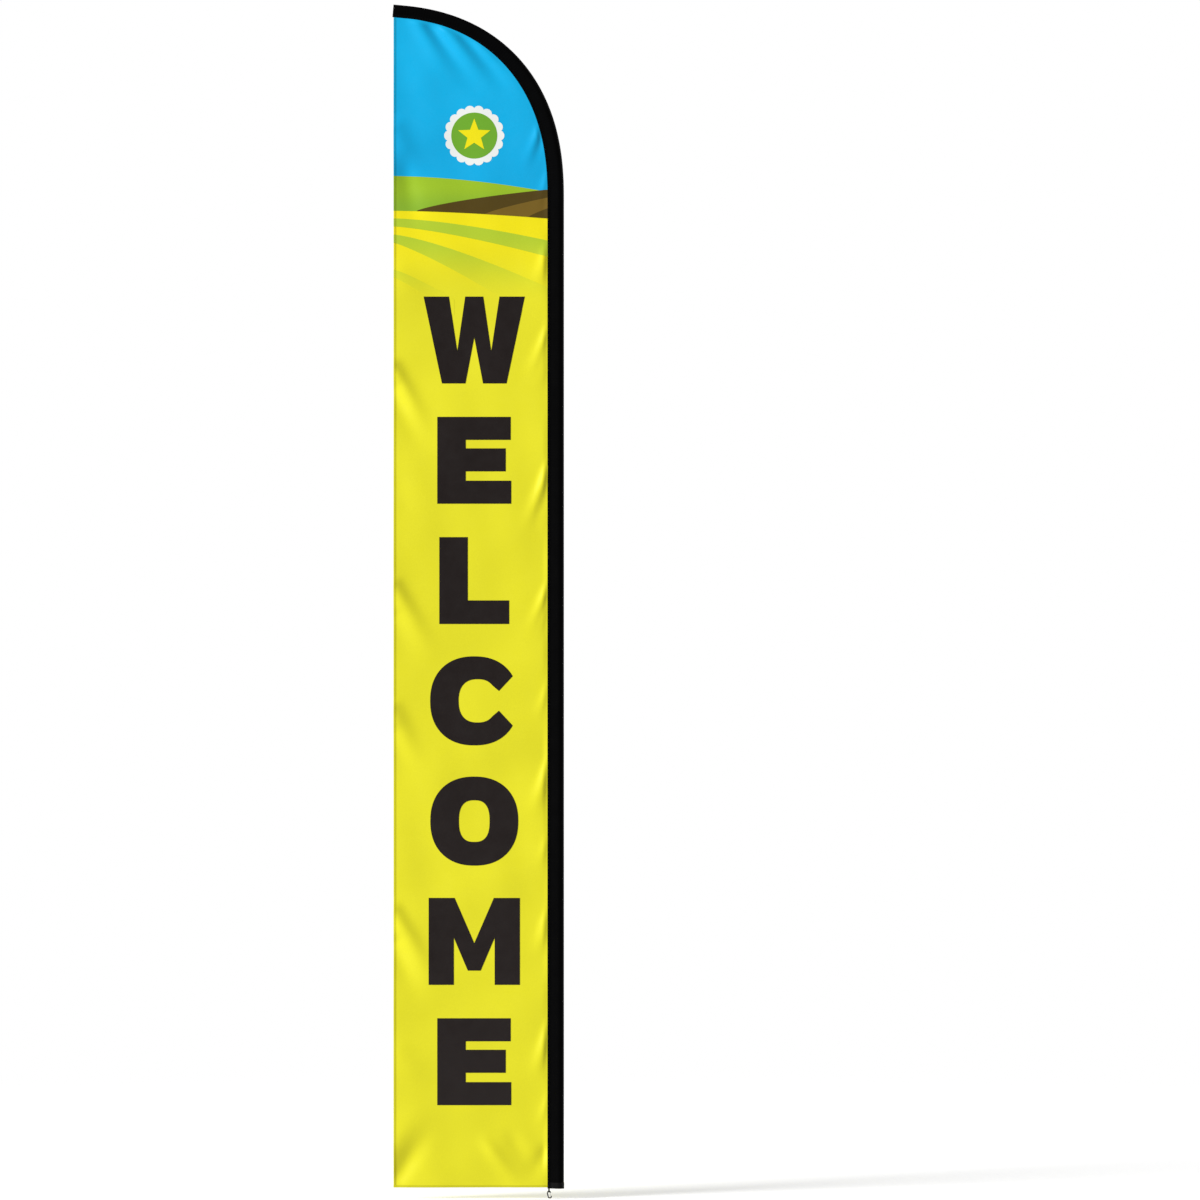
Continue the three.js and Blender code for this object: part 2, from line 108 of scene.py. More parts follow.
def linear(red: float, green: float, blue: float) -> tuple[float, float, float, float]:
    """A display colour from 0 to 255 as the linear colour that a shader takes."""
    share = np.array([red, green, blue]) / 255.0
    value = np.where(share <= 0.04045, share / 12.92, ((share + 0.055) / 1.055) ** 2.4)
    return (float(value[0]), float(value[1]), float(value[2]), 1.0)


# ---------------------------------------------------------------------------
# Finishes
# ---------------------------------------------------------------------------


class Surface(Enum):
    """The kinds of small relief that a finish can have."""

    KNIT = "warp-knitted flag cloth"
    CANVAS = "plain-woven sleeve cloth"
    WEBBING = "ribbed woven tape"
    COATED = "coated blockout cloth"
    THREAD = "twisted sewing thread"
    BRUSHED = "drawn and anodised metal"
    WOUND = "pultruded composite with a spiral wrap"
    MOULDED = "moulded plastic or rubber"


class ShaderTree:
    """The node tree of a material or world, with short calls to add and join its nodes."""

    def __init__(self, owner: bpy.types.ID, shader: str = "Principled BSDF") -> None:
        """Takes the owner's tree and finds its shader."""
        owner.use_nodes = True
        self.tree = owner.node_tree
        self.shader = self.tree.nodes[shader]

    def _join(self, socket: Socket, value: object) -> None:
        """Joins an output to a socket, or sets the socket's own value."""
        if isinstance(value, Socket):
            self.tree.links.new(value, socket)
        else:
            socket.default_value = value

    def feed(self, node: bpy.types.Node, **inputs: object) -> None:
        """Joins or sets a node's inputs, whose names have underscores for spaces."""
        for key, value in inputs.items():
            self._join(node.inputs[key.replace("_", " ")], value)

    def node(self, kind: str, settings: Optional[dict] = None, **inputs: object) -> bpy.types.Node:
        """Adds a node.

        Args:
            kind: the node's type name, without its ShaderNode prefix.
            settings: properties of the node itself.
            inputs: values or output sockets for its inputs, spaces written as underscores.

        Returns:
            The new node.
        """
        made = self.tree.nodes.new("ShaderNode" + kind)
        for key, value in (settings or {}).items():
            setattr(made, key, value)
        self.feed(made, **inputs)
        return made

    def maths(self, operation: str, *values: object) -> Socket:
        """One arithmetic step on two numbers or sockets."""
        made = self.node("Math", {"operation": operation})
        for place, value in enumerate(values):
            self._join(made.inputs[place], value)
        return made.outputs[0]

    def mixed(self, share: object, first: object, second: object, blend: str = "MIX") -> Socket:
        """Two colours mixed by a share from 0 to 1, through the mix node's colour sockets."""
        made = self.node("Mix", {"data_type": "RGBA", "blend_type": blend})
        for place, value in ((0, share), (6, first), (7, second)):
            self._join(made.inputs[place], value)
        return made.outputs[2]

    def noise(self, place: Socket, scale: float, detail: float, roughness: float = 0.5) -> Socket:
        """Soft random values from 0 to 1."""
        made = self.node("TexNoise", Vector=place, Scale=scale, Detail=detail, Roughness=roughness)
        return made.outputs["Fac"]

    def bands(self, place: Socket, axis: str, period: float, bend: float) -> Socket:
        """Even bands across an axis, this many millimetres apart and unevenly bent."""
        settings = {"wave_type": "BANDS", "bands_direction": axis}
        scale = WAVE_REPEAT / (period * MM)
        made = self.node("TexWave", settings, Vector=place, Scale=scale, Distortion=bend, Detail_Scale=1.5)
        return made.outputs["Fac"]

    def ranged(
        self, value: object, start: Sequence[float], end: Sequence[float], kind: str = "LINEAR"
    ) -> Socket:
        """A number carried from one range to another.

        Args:
            value: the number or socket.
            start: the range that it comes from.
            end: what that range's two ends become.
            kind: LINEAR, or SMOOTHSTEP to ease in and out.

        Returns:
            The output socket.
        """
        made = self.node("MapRange", {"interpolation_type": kind}, Value=value)
        self.feed(made, From_Min=start[0], From_Max=start[1], To_Min=end[0], To_Max=end[1])
        return made.outputs["Result"]


@dataclass(frozen=True)
class Fade:
    """A printed colour that runs into a second one along the flag's height."""

    into: Colour
    low: float  # fully the second colour at this height, in mm
    high: float  # fully the first colour at this height, in mm


@dataclass(frozen=True)
class Finish:
    """One finish of the flag: its colour, gloss and small relief."""

    name: str
    slot: str
    colour: Colour
    surface: Surface
    roughness: float = 0.6
    specular: float = 0.3
    metallic: float = 0.0
    sheen: float = 0.0
    fade: Optional[Fade] = None

    def material(self) -> bpy.types.Material:
        """The finish's material, made once and then shared."""
        found = bpy.data.materials.get(self.name)
        return found if found is not None else self._make()

    def _make(self) -> bpy.types.Material:
        """Builds the node tree: colour variation, roughness variation and relief."""
        material = bpy.data.materials.new(self.name)
        tree = ShaderTree(material)
        place = tree.node("TexCoord").outputs
        on_cloth = self.surface in (Surface.CANVAS, Surface.WEBBING, Surface.BRUSHED, Surface.WOUND)
        height, depth, strength = self._relief(tree, place["UV" if on_cloth else "Object"], place["Object"])
        bump = tree.node("Bump", Strength=strength, Distance=depth, Height=height)
        wear = tree.noise(place["Object"], 23.0, 4.0, 0.55)
        tree.feed(
            tree.shader,
            Base_Color=self._colour(tree, place["Object"]),
            Metallic=self.metallic,
            Specular_IOR_Level=self.specular,
            Sheen_Weight=self.sheen,
            Sheen_Roughness=0.5,
            Roughness=tree.ranged(wear, (0.3, 0.7), (self.roughness - 0.07, self.roughness + 0.07)),
            Normal=bump.outputs["Normal"],
        )
        return material

    def _colour(self, tree: ShaderTree, place: Socket) -> Socket:
        """The colour with its fade, a slow unevenness, a fine mottle and, on the knit, painted shade along
        the hems.
        """
        base: object = linear(*self.colour)
        if self.fade is not None:
            height = tree.node("SeparateXYZ", Vector=place).outputs["Z"]
            span = (self.fade.low * MM, self.fade.high * MM)
            share = tree.ranged(height, span, (0.0, 1.0), "SMOOTHSTEP")
            base = tree.mixed(share, linear(*self.fade.into), base)
        mottle = tree.maths("ADD", tree.noise(place, 2.6, 3.0), tree.noise(place, 310.0, 2.0, 0.6))
        level = tree.ranged(mottle, (0.7, 1.3), (0.955, 1.045))
        shade = tree.node("CombineXYZ", X=level, Y=level, Z=level)
        base = tree.mixed(1.0, base, shade.outputs["Vector"], "MULTIPLY")
        return self._painted_hem_shade(tree, base, place) if self.surface is Surface.KNIT else base

    def _painted_hem_shade(self, tree: ShaderTree, base: Socket, place: Socket) -> Socket:
        """The print with painted shade along its free and bottom hems, where the doubled cloth shows darker
        under the light.
        """
        axes = tree.node("SeparateXYZ", Vector=place).outputs
        hem_shade_share = [tree.ranged(axes[axis], edge, (1.0, 0.0), "SMOOTHSTEP") for axis, *edge in HEM_SHADE_EDGES]
        # painted shade: the print darkened where it nears a hem
        hem_shaded = tree.mixed(1.0, base, HEM_SHADE, "MULTIPLY")
        return tree.mixed(tree.maths("MAXIMUM", *hem_shade_share), base, hem_shaded)

    def _relief(self, tree: ShaderTree, cloth: Socket, place: Socket) -> tuple[Socket, float, float]:
        """The height, its depth in metres and its strength for this kind of surface."""
        if self.surface is Surface.KNIT:
            wales, courses = tree.bands(place, "X", 1.3, 0.4), tree.bands(place, "Z", 1.0, 0.6)
            return tree.maths("MULTIPLY", wales, courses), 0.00012, 0.35
        if self.surface is Surface.CANVAS:
            woven = tree.maths("MAXIMUM", *(tree.bands(cloth, axis, 1.1, 0.3) for axis in "XY"))
            ribs = tree.maths("MULTIPLY", tree.bands(cloth, "Y", 10.4, 1.6), 2.2)
            return tree.maths("ADD", woven, ribs), 0.00022, 0.6
        if self.surface is Surface.WEBBING:
            across = tree.maths("MULTIPLY", tree.bands(cloth, "X", 1.9, 0.4), 0.5)
            return tree.maths("ADD", tree.bands(cloth, "Y", 1.4, 0.5), across), 0.0003, 0.8
        if self.surface is Surface.BRUSHED:
            drawn_out = tree.node("Mapping", Vector=cloth, Scale=(2600.0, 9.0, 1.0))
            return tree.noise(drawn_out.outputs["Vector"], 1.0, 3.0), 0.00004, 0.5
        if self.surface is Surface.WOUND:
            return tree.bands(cloth, "DIAGONAL", 4.2, 0.8), 0.00008, 0.5
        scale = {Surface.COATED: 900.0, Surface.THREAD: 2400.0}.get(self.surface, 1400.0)
        return tree.noise(place, scale, 3.0, 0.6), 0.00006, 0.35


def printed(name: str, slot: str, colour: Colour, fade: Optional[Fade] = None) -> Finish:
    """A colour printed on the flag's knit."""
    return Finish(name, slot, colour, Surface.KNIT, 0.45, 0.26, sheen=0.01, fade=fade)


YELLOW = (232.0, 226.0, 36.0)
FIELD = printed("field_print", "print", (245.0, 230.0, 10.0), Fade(YELLOW, 3230.0, 3520.0))
SKY = printed("sky_print", "print_sky", (0.0, 179.0, 233.0), Fade((0.0, 173.0, 229.0), 3650.0, 4150.0))
HILL = printed("hill_print", "print_green", (156.0, 193.0, 36.0), Fade((138.0, 180.0, 44.0), 3570.0, 3660.0))
BAND = printed("band_print", "print_green", (180.0, 205.0, 46.0), Fade(YELLOW, 3225.0, 3500.0))
BROWN = printed("brown_print", "print_brown", (80.0, 63.0, 8.0))
BROWN_LIGHT = printed("brown_stripe_print", "print_brown", (118.0, 93.0, 26.0))
DARK = printed("letter_print", "print_dark", (22.0, 13.0, 11.0))
WHITE = printed("white_print", "print_white", (240.0, 243.0, 240.0))
GREEN = printed("rosette_green_print", "print_green", (112.0, 172.0, 44.0))
LINER = Finish("blockout_coating", "liner", (150.0, 150.0, 148.0), Surface.COATED, 0.7)
CANVAS = Finish("black_sleeve_cloth", "sleeve_cloth", (5.0, 5.0, 5.5), Surface.CANVAS, 0.82, 0.02)
TAPE = Finish("black_webbing", "webbing", (10.0, 10.0, 11.0), Surface.WEBBING, 0.7, 0.07)
YELLOW_THREAD = Finish("yellow_thread", "thread_yellow", (206.0, 200.0, 40.0), Surface.THREAD, 0.5)
SKY_THREAD = Finish("blue_thread", "print_sky", (0.0, 150.0, 205.0), Surface.THREAD, 0.5)
BLACK_THREAD = Finish("black_thread", "thread_black", (24.0, 24.0, 26.0), Surface.THREAD, 0.5, 0.15)
ALUMINIUM = Finish("anodised_aluminium", "tube", (172.0, 174.0, 178.0), Surface.BRUSHED, 0.34, 0.5, 1.0)
STEEL = Finish("satin_steel", "steel", (150.0, 152.0, 156.0), Surface.BRUSHED, 0.27, 0.5, 1.0)
COMPOSITE = Finish("black_composite", "composite", (26.0, 27.0, 28.0), Surface.WOUND, 0.34, 0.5)
NYLON = Finish("moulded_nylon", "nylon", (38.0, 38.0, 41.0), Surface.MOULDED, 0.48, 0.45)
RUBBER = Finish("cap_rubber", "rubber", (25.0, 25.0, 25.0), Surface.MOULDED, 0.78, 0.3)
CLIP = Finish("black_clip", "clip", (24.0, 24.0, 25.0), Surface.MOULDED, 0.36, 0.45)
WIRE = Finish("spring_wire", "wire", (196.0, 198.0, 200.0), Surface.MOULDED, 0.22, 0.5, 1.0)


# ---------------------------------------------------------------------------
# Meshes from numpy surfaces
# ---------------------------------------------------------------------------


def _no_faces(corners: int) -> np.ndarray:
    """An empty list of faces."""
    return np.zeros((0, corners), int)


@dataclass
class Shell:
    """A closed surface: points in millimetres, the faces between them, and cloth places in metres."""

    points: np.ndarray
    quads: np.ndarray = field(default_factory=lambda: _no_faces(4))
    triangles: np.ndarray = field(default_factory=lambda: _no_faces(3))
    cloth: Optional[np.ndarray] = None

    def volume(self) -> float:
        """Signed volume: the sum of a . (b x c) / 6 over its triangles."""
        fans = np.concatenate([self.quads[:, [0, 1, 2]], self.quads[:, [0, 2, 3]], self.triangles])
        a, b, c = (self.points[fans[:, k]] for k in range(3))
        return float((a * np.cross(b, c)).sum() / 6.0)

    def facing_out(self) -> "Shell":
        """The same shell with every face pointing outwards."""
        if self.volume() >= 0.0:
            return self
        return Shell(self.points, self.quads[:, ::-1], self.triangles[:, ::-1], self.cloth)

    @staticmethod
    def together(shells: Sequence["Shell"]) -> "Shell":
        """Several shells as one, each facing outwards."""
        shells = [shell.facing_out() for shell in shells]
        first = np.cumsum([0] + [len(shell.points) for shell in shells[:-1]])
        has_cloth = all(shell.cloth is not None for shell in shells)
        return Shell(
            np.concatenate([shell.points for shell in shells]),
            np.concatenate([shell.quads + n for shell, n in zip(shells, first)]),
            np.concatenate([shell.triangles + n for shell, n in zip(shells, first)]),
            np.concatenate([shell.cloth for shell in shells]) if has_cloth else None,
        )


def grid_faces(rows: int, columns: int, round_rows: bool = False, round_columns: bool = False) -> np.ndarray:
    """The four-sided faces of a grid of points, stored row by row."""
    row, column = np.meshgrid(
        np.arange(rows if round_rows else rows - 1),
        np.arange(columns if round_columns else columns - 1),
        indexing="ij",
    )
    next_row, next_column = (row + 1) % rows, (column + 1) % columns
    corners = [
        row * columns + column,
        row * columns + next_column,
        next_row * columns + next_column,
        next_row * columns + column,
    ]
    return np.stack(corners, axis=-1).reshape(-1, 4)


def thin_solid(front: np.ndarray, back: np.ndarray, cloth: Optional[np.ndarray] = None) -> Shell:
    """Closes the space between two matching grids of points with a rim.

    Args:
        front: one face, rows x columns x 3.
        back: the other face, point for point opposite the first.
        cloth: the place of each point on the flat cloth in metres, rows x columns x 2.

    Returns:
        The closed shell.
    """
    rows, columns = front.shape[:2]
    count = rows * columns
    index = np.arange(count).reshape(rows, columns)
    edge = np.concatenate([index[0, :-1], index[:-1, -1], index[-1, :0:-1], index[:0:-1, 0]])
    after = np.roll(edge, -1)
    rim = np.stack([edge, edge + count, after + count, after], axis=-1)
    face = grid_faces(rows, columns)
    flat = None if cloth is None else np.tile(cloth.reshape(-1, 2), (2, 1))
    points = np.concatenate([front.reshape(-1, 3), back.reshape(-1, 3)])
    return Shell(points, np.concatenate([face, face[:, ::-1] + count, rim]), cloth=flat)


def rounded_corners(profile: np.ndarray, size: float, closed: bool) -> np.ndarray:
    """Rounds a profile's corners.

    Each corner becomes five points: two on each straight beside it and the middle of the curve
    (a + 2p + b) / 4 between them. An open profile keeps its two end points.

    Args:
        profile: radius and height of each corner.
        size: how far the rounding reaches along each straight.
        closed: whether the last corner joins the first.

    Returns:
        The rounded profile.
    """
    before, after = np.roll(profile, 1, axis=0), np.roll(profile, -1, axis=0)
    reach_before = np.linalg.norm(before - profile, axis=1, keepdims=True)
    reach_after = np.linalg.norm(after - profile, axis=1, keepdims=True)
    cut = np.minimum(size, 0.24 * np.minimum(reach_before, reach_after))
    a = profile + (before - profile) / np.maximum(reach_before, 1e-9) * cut
    b = profile + (after - profile) / np.maximum(reach_after, 1e-9) * cut
    far_a, far_b = profile + (a - profile) * 2.0, profile + (b - profile) * 2.0
    middle = (a + 2.0 * profile + b) / 4.0
    corners = np.stack([far_a, a, middle, b, far_b], axis=1)
    if closed:
        return corners.reshape(-1, 2)
    return np.concatenate([profile[:1], corners[1:-1].reshape(-1, 2), profile[-1:]])


def turned(
    profile: Sequence[tuple[float, float]],
    origin: Sequence[float] = (0.0, 0.0, 0.0),
    along: Sequence[float] = (0.0, 0.0, 1.0),
    rounding: float = 0.35,
    sides: int = 72,
) -> Shell:
    """A solid of revolution: each profile point (r, h) goes to r cos(a), r sin(a), h.

    Args:
        profile: radius and height of each corner. It closes on itself, or starts and ends on the axis.
        origin: where height 0 is.
        along: the axis of revolution.
        rounding: how far each corner's rounding reaches.
        sides: points round the axis.

    Returns:
        The closed shell, with its cloth places as length round the axis and height.
    """
    corners = np.array(profile, float)
    closed = corners[0, 0] > 1e-6
    line = rounded_corners(corners, rounding, closed)
    axis = unit(np.array(along, float))
    helper = np.array([0.0, 1.0, 0.0]) if abs(axis[1]) < 0.9 else np.array([1.0, 0.0, 0.0])
    across = unit(np.cross(helper, axis))
    rings = line if closed else line[1:-1]
    angle = full_turn(sides)
    spoke = directions(angle) @ np.stack([across, np.cross(axis, across)])
    points = rings[:, None, :1] * spoke + rings[:, None, 1:] * axis + np.array(origin, float)
    places = cloth_places(angle * rings[:, :1], rings[:, 1:])
    quads = grid_faces(len(rings), sides, round_rows=closed, round_columns=True)
    if closed:
        return Shell(points.reshape(-1, 3), quads, cloth=places.reshape(-1, 2))
    poles = line[[0, -1], 1:] * axis + np.array(origin, float)
    return _with_poles(points, quads, poles, places)


def _with_poles(points: np.ndarray, quads: np.ndarray, poles: np.ndarray, places: np.ndarray) -> Shell:
    """Closes a tube of rings with a fan of triangles to one point at each end."""
    rings, sides = points.shape[:2]
    count = rings * sides
    ring = np.arange(sides)
    after = (ring + 1) % sides
    last = (rings - 1) * sides
    start = np.stack([np.full(sides, count), after, ring], axis=-1)
    end = np.stack([np.full(sides, count + 1), last + ring, last + after], axis=-1)
    flat = np.concatenate([places.reshape(-1, 2), places[0, :1], places[-1, :1]])
    return Shell(np.concatenate([points.reshape(-1, 3), poles]), quads, np.concatenate([start, end]), flat)


def swept(path: np.ndarray, radius: np.ndarray, sides: int, reference: Sequence[float]) -> Shell:
    """A round bar along a path, with half-round ends.

    Each ring is path + radius (cos(a) u + sin(a) v), where u is square to the path and to the
    reference direction, and v to both. At each end five rings more close in as a quarter circle.

    Args:
        path: points along the middle of the bar.
        radius: the bar's radius at each point.
        sides: points round the bar.
        reference: a direction that the path never runs along.

    Returns:
        The closed shell.
    """
    tangent = unit(np.gradient(path, axis=0))
    swell, reach = directions(np.linspace(0.0, 0.46 * math.pi, END_RINGS + 1)[1:]).T[..., None]
    head = path[0] - tangent[0] * radius[0] * reach
    tail = path[-1] + tangent[-1] * radius[-1] * reach
    line = np.concatenate([head[::-1], path, tail])
    sizes = np.concatenate([(radius[0] * swell)[::-1, 0], radius, (radius[-1] * swell)[:, 0]])
    run = np.pad(tangent, ((END_RINGS, END_RINGS), (0, 0)), mode="edge")
    u = unit(np.cross(run, np.array(reference, float)))
    v = np.cross(run, u)
    angle = full_turn(sides)
    spoke = np.cos(angle)[None, :, None] * u[:, None] + np.sin(angle)[None, :, None] * v[:, None]
    points = line[:, None] + sizes[:, None, None] * spoke
    places = cloth_places(angle[None] * sizes[:, None], run_of(line)[:, None])
    poles = np.stack([path[0] - tangent[0] * radius[0], path[-1] + tangent[-1] * radius[-1]])
    return _with_poles(points, grid_faces(len(line), sides, round_columns=True), poles, places)


def smooth_path(points: np.ndarray, count: int) -> np.ndarray:
    """A Catmull-Rom curve through the points, sampled evenly in its parameter."""
    padded = np.concatenate([2 * points[:1] - points[1:2], points, 2 * points[-1:] - points[-2:-1]])
    place = np.linspace(0.0, len(points) - 1.0, count)
    step = np.minimum(place.astype(int), len(points) - 2)
    t = (place - step)[:, None]
    p0, p1, p2, p3 = (padded[step + k] for k in range(4))
    return 0.5 * (
        2 * p1 + (p2 - p0) * t + (2 * p0 - 5 * p1 + 4 * p2 - p3) * t**2 + (3 * p1 - p0 - 3 * p2 + p3) * t**3
    )


def linked(name: str, data: bpy.types.ID) -> bpy.types.Object:
    """A new object in the scene."""
    made = bpy.data.objects.new(name, data)
    bpy.context.scene.collection.objects.link(made)
    return made


def add_piece(
    name: str, shell: Shell, finish: Finish, body: str, stands_for: Sequence[str] = (), crease: float = 50.0
) -> bpy.types.Object:
    """Makes a piece of the object.

    Args:
        name: the piece's name.
        shell: its closed surface.
        finish: its material.
        body: the CAD body that it rides on.
        stands_for: the CAD nodes that it is shown in place of.
        crease: edges sharper than this angle in degrees stay crisp.

    Returns:
        The new object, at the origin with its place in its mesh.
    """
    shell = shell.facing_out()
    mesh = bpy.data.meshes.new(name)
    mesh.from_pydata((shell.points * MM).tolist(), [], shell.quads.tolist() + shell.triangles.tolist())
    if shell.cloth is not None:
        corners = np.concatenate([shell.quads.ravel(), shell.triangles.ravel()])
        layer = mesh.uv_layers.new(name="cloth")
        layer.data.foreach_set("uv", shell.cloth[corners].astype(np.float32).ravel())
    mesh.shade_smooth()
    mesh.set_sharp_from_angle(angle=math.radians(crease))
    mesh.materials.append(finish.material())
    piece = linked(name, mesh)
    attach(piece, body)
    if stands_for:
        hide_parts(*stands_for)
    LOG.info("%s: %d points on %s, %s", name, len(shell.points), body, finish.name)
    return piece


# ---------------------------------------------------------------------------
# The flag's outline and folds
# ---------------------------------------------------------------------------


@dataclass(frozen=True)
class SleeveLine:
    """The sleeve's outer edge, up the straight and round the bow, as a function of length along it.

    Round the bow the edge is x = centre + reach cos(a)^(2/n), z = base + rise sin(a)^(2/n), and its
    last stretch is straight. The sleeve narrows along the bow as half a cosine wave.
    """

    mouth: float = -2.0
    base: float = 3612.0
    rise: float = 708.0
    reach: float = 693.0
    power: float = 2.335
    outer_edge: float = 17.4
    free_edge: float = -604.6
    straight_end: float = 45.0
    width: float = 60.0
    tip_width: float = 46.0
    pocket: float = 16.4
    tip_pocket: float = 7.3
    wall: float = 1.0
    overlap: float = 12.0  # the plies run this far under the sleeve's seam
    narrowing_power: float = 1.5

    def _angle_at(self, x: float) -> float:
        """The bow's angle where its edge has reached x."""
        centre = self.outer_edge - self.reach
        return math.acos(((x - centre) / self.reach) ** (self.power / 2.0))

    @cached_property
    def table(self) -> np.ndarray:
        """Columns: length, edge x and z, outward normal x and z, width and pocket radius."""
        end, start = self._angle_at(self.free_edge), self._angle_at(self.free_edge + self.straight_end)
        angle = np.append(np.linspace(0.0, start, 1200), end)
        turn = np.minimum(angle, start)
        across, up = np.cos(turn) ** (2 / self.power), np.sin(turn) ** (2 / self.power)
        normal = unit(
            np.stack([across ** (self.power - 1) / self.reach, up ** (self.power - 1) / self.rise], axis=-1)
        )
        x = self.outer_edge - self.reach + self.reach * across
        z = self.base + self.rise * up
        beyond = self.straight_end * (angle - turn) / (end - start)
        x, z = x - normal[:, 1] * beyond, z + normal[:, 0] * beyond
        share = 0.5 - 0.5 * np.cos(math.pi * np.minimum(1.0, angle / start) ** self.narrowing_power)
        bow = np.stack([x, z, normal[:, 0], normal[:, 1], share], axis=-1)
        low = np.array([[self.outer_edge, self.mouth, 1.0, 0.0, 0.0]])
        rows = np.concatenate([low, bow])
        width = self.width + (self.tip_width - self.width) * rows[:, 4]
        pocket = self.pocket + (self.tip_pocket - self.pocket) * rows[:, 4]
        return np.column_stack([run_of(rows[:, :2]), rows[:, :4], width, pocket])

    @property
    def length(self) -> float:
        """The length of the outer edge from mouth to tip."""
        return float(self.table[-1, 0])

    def at(self, length: np.ndarray) -> np.ndarray:
        """The table's columns at these lengths, without the length itself."""
        known, *columns = self.table.T
        return np.stack([np.interp(length, known, column) for column in columns], axis=-1)

    def centre(self, length: np.ndarray) -> np.ndarray:
        """Points on the pole's centre line."""
        x, z, nx, nz, _, pocket = np.moveaxis(self.at(length), -1, 0)
        inward = pocket + self.wall
        return np.stack([x - nx * inward, 0.0 * x, z - nz * inward], axis=-1)

    def inside(self, length: np.ndarray, inset: float) -> np.ndarray:
        """Points x, z at this inset from the sleeve's inner edge towards its outer edge."""
        x, z, nx, nz, width, _ = np.moveaxis(self.at(length), -1, 0)
        return np.stack([x + nx * (inset - width), z + nz * (inset - width)], axis=-1)

    @cached_property
    def seam(self) -> np.ndarray:
        """Columns length, x, z, normal x and z along the plies' own edge, up to the free edge."""
        length = np.linspace(0.0, self.length, 3000)
        line = self.inside(length, self.overlap)
        normal = self.at(length)[:, 2:4]
        keep = line[:, 0] > self.free_edge
        return np.column_stack([length, line, normal])[keep]

    def seam_x(self, z: np.ndarray, tuck: float = 0.0) -> np.ndarray:
        """The plies' edge at this height, moved back from it by tuck."""
        moved = self.seam[:, 1:3] - self.seam[:, 3:5] * tuck
        return np.interp(z, moved[:, 1], moved[:, 0])

    def seam_z(self, x: np.ndarray, tuck: float = 0.0) -> np.ndarray:
        """The height of the plies' edge over this x, moved back from it by tuck."""
        moved = self.seam[:, 1:3] - self.seam[:, 3:5] * tuck
        return np.interp(-x, -moved[:, 0], moved[:, 1])

    def seam_distance(self, x: np.ndarray, z: np.ndarray) -> np.ndarray:
        """How far points lie inside the plies' edge: along the normal at the nearest sample."""
        straight = self.seam[0, 1] - x
        high = z > self.base - 120.0
        if not np.any(high):
            return straight
        samples = self.seam[self.seam[:, 2] > self.base - 400.0][::6]
        px, pz = x[high], z[high]
        away = (px[:, None] - samples[None, :, 1]) ** 2 + (pz[:, None] - samples[None, :, 2]) ** 2
        near = samples[np.argmin(away, axis=1)]
        straight[high] = (near[:, 1] - px) * near[:, 3] + (near[:, 2] - pz) * near[:, 4]
        return straight


@dataclass(frozen=True)
class Ridge:
    """One soft fold, raised towards the front along a line from its first point to its second."""

    x0: float
    z0: float
    x1: float
    z1: float
    width: float
    rise: float
    spread: float = 0.6  # how much wider it is at its end
    build: float = 0.3  # the share of its length over which it builds up

    def height(self, x: np.ndarray, z: np.ndarray) -> np.ndarray:
        """rise * exp(-d^2 / 2 w^2) across the line, easing in and out along it."""
        dx, dz = self.x1 - self.x0, self.z1 - self.z0
        length = math.hypot(dx, dz)
        along = ((x - self.x0) * dx + (z - self.z0) * dz) / length**2
        across = ((x - self.x0) * dz - (z - self.z0) * dx) / length
        width = self.width * (1.0 + self.spread * np.clip(along, 0.0, 1.0))
        eased = smooth_step(along / self.build) * smooth_step((1.0 - along) / (1.0 - self.build))
        return self.rise * np.exp(-0.5 * (across / width) ** 2) * eased


TIP_FOLDS = (
    (-560, 4330, -345, 3965, 16, 8, 0.9, 0.2), (-520, 4310, -262, 3950, 13, -7.5, 1, 0.2),
    (-468, 4285, -180, 3945, 14, 8.5, 1, 0.2), (-392, 4250, -138, 3965, 13, -7, 0.9, 0.2),
    (-320, 4215, -110, 3960, 14, 5.5, 0.8, 0.2), (-625, 3915, -500, 3665, 25, 8, 0.4, 0.2),
    (-600, 4150, -470, 3790, 34, -4.5, 0.5), (-574, 3800, -518, 3440, 24, -8, 0.3, 0.3),
)
FREE_EDGE_FOLDS = (
    (-630, 3044, -462, 2722, 17, 13.5, 0.5, 0.14), (-630, 2950, -476, 2650, 24, -10.5, 0.3, 0.14),
    (-630, 2246, -438, 1912, 19, 13, 0.5, 0.14), (-630, 2110, -505, 1872, 26, -5.5, 0.3, 0.16),
    (-630, 1790, -490, 1500, 22, 10, 0.4, 0.14), (-630, 1690, -520, 1450, 26, -5, 0.3, 0.16),
    (-630, 1056, -440, 728, 18, 13.5, 0.5, 0.14), (-630, 925, -480, 640, 25, -10.5, 0.3, 0.14),
    (-630, 560, -470, 340, 26, 4), (-630, 2620, -480, 2400, 26, -3.5),
    (-630, 3400, -460, 3180, 26, 4),
)
CORNER_FOLDS = (
    (-622, -10, -432, 278, 21, -9.5, 0.4, 0.16), (-640, 80, -500, 330, 22, 5),
    (-300, 205, -120, -20, 17, 7.5, 0.3, 0.35), (-205, 230, -70, 20, 19, -5, 0.3, 0.35),
    (-24, 160, -130, 10, 18, -6.5, 0.4, 0.2),
)
# Puckers from the sleeve: the height where each starts, how far it reaches, how far it falls, its rise.
SEAM_PUCKERS = (
    (3880, 60, 190, 3.6), (3700, 40, 150, 3.2), (3450, 55, 180, 4.2), (3395, 34, 130, 3.6),
    (3150, 86, 240, 5), (3092, 62, 205, 4.2), (3020, 34, 130, 3.6), (2655, 92, 290, 6),
    (2598, 44, 165, 4.4), (2210, 82, 225, 5.4), (2146, 48, 165, 4.2), (1840, 46, 160, 3.4),
    (1568, 66, 232, 5.4), (1506, 42, 168, 4.2), (1285, 38, 140, 3), (1020, 52, 190, 4.6),
    (958, 34, 130, 3.6), (610, 60, 230, 5.2), (552, 40, 172, 4.2), (330, 38, 140, 3.2),
)


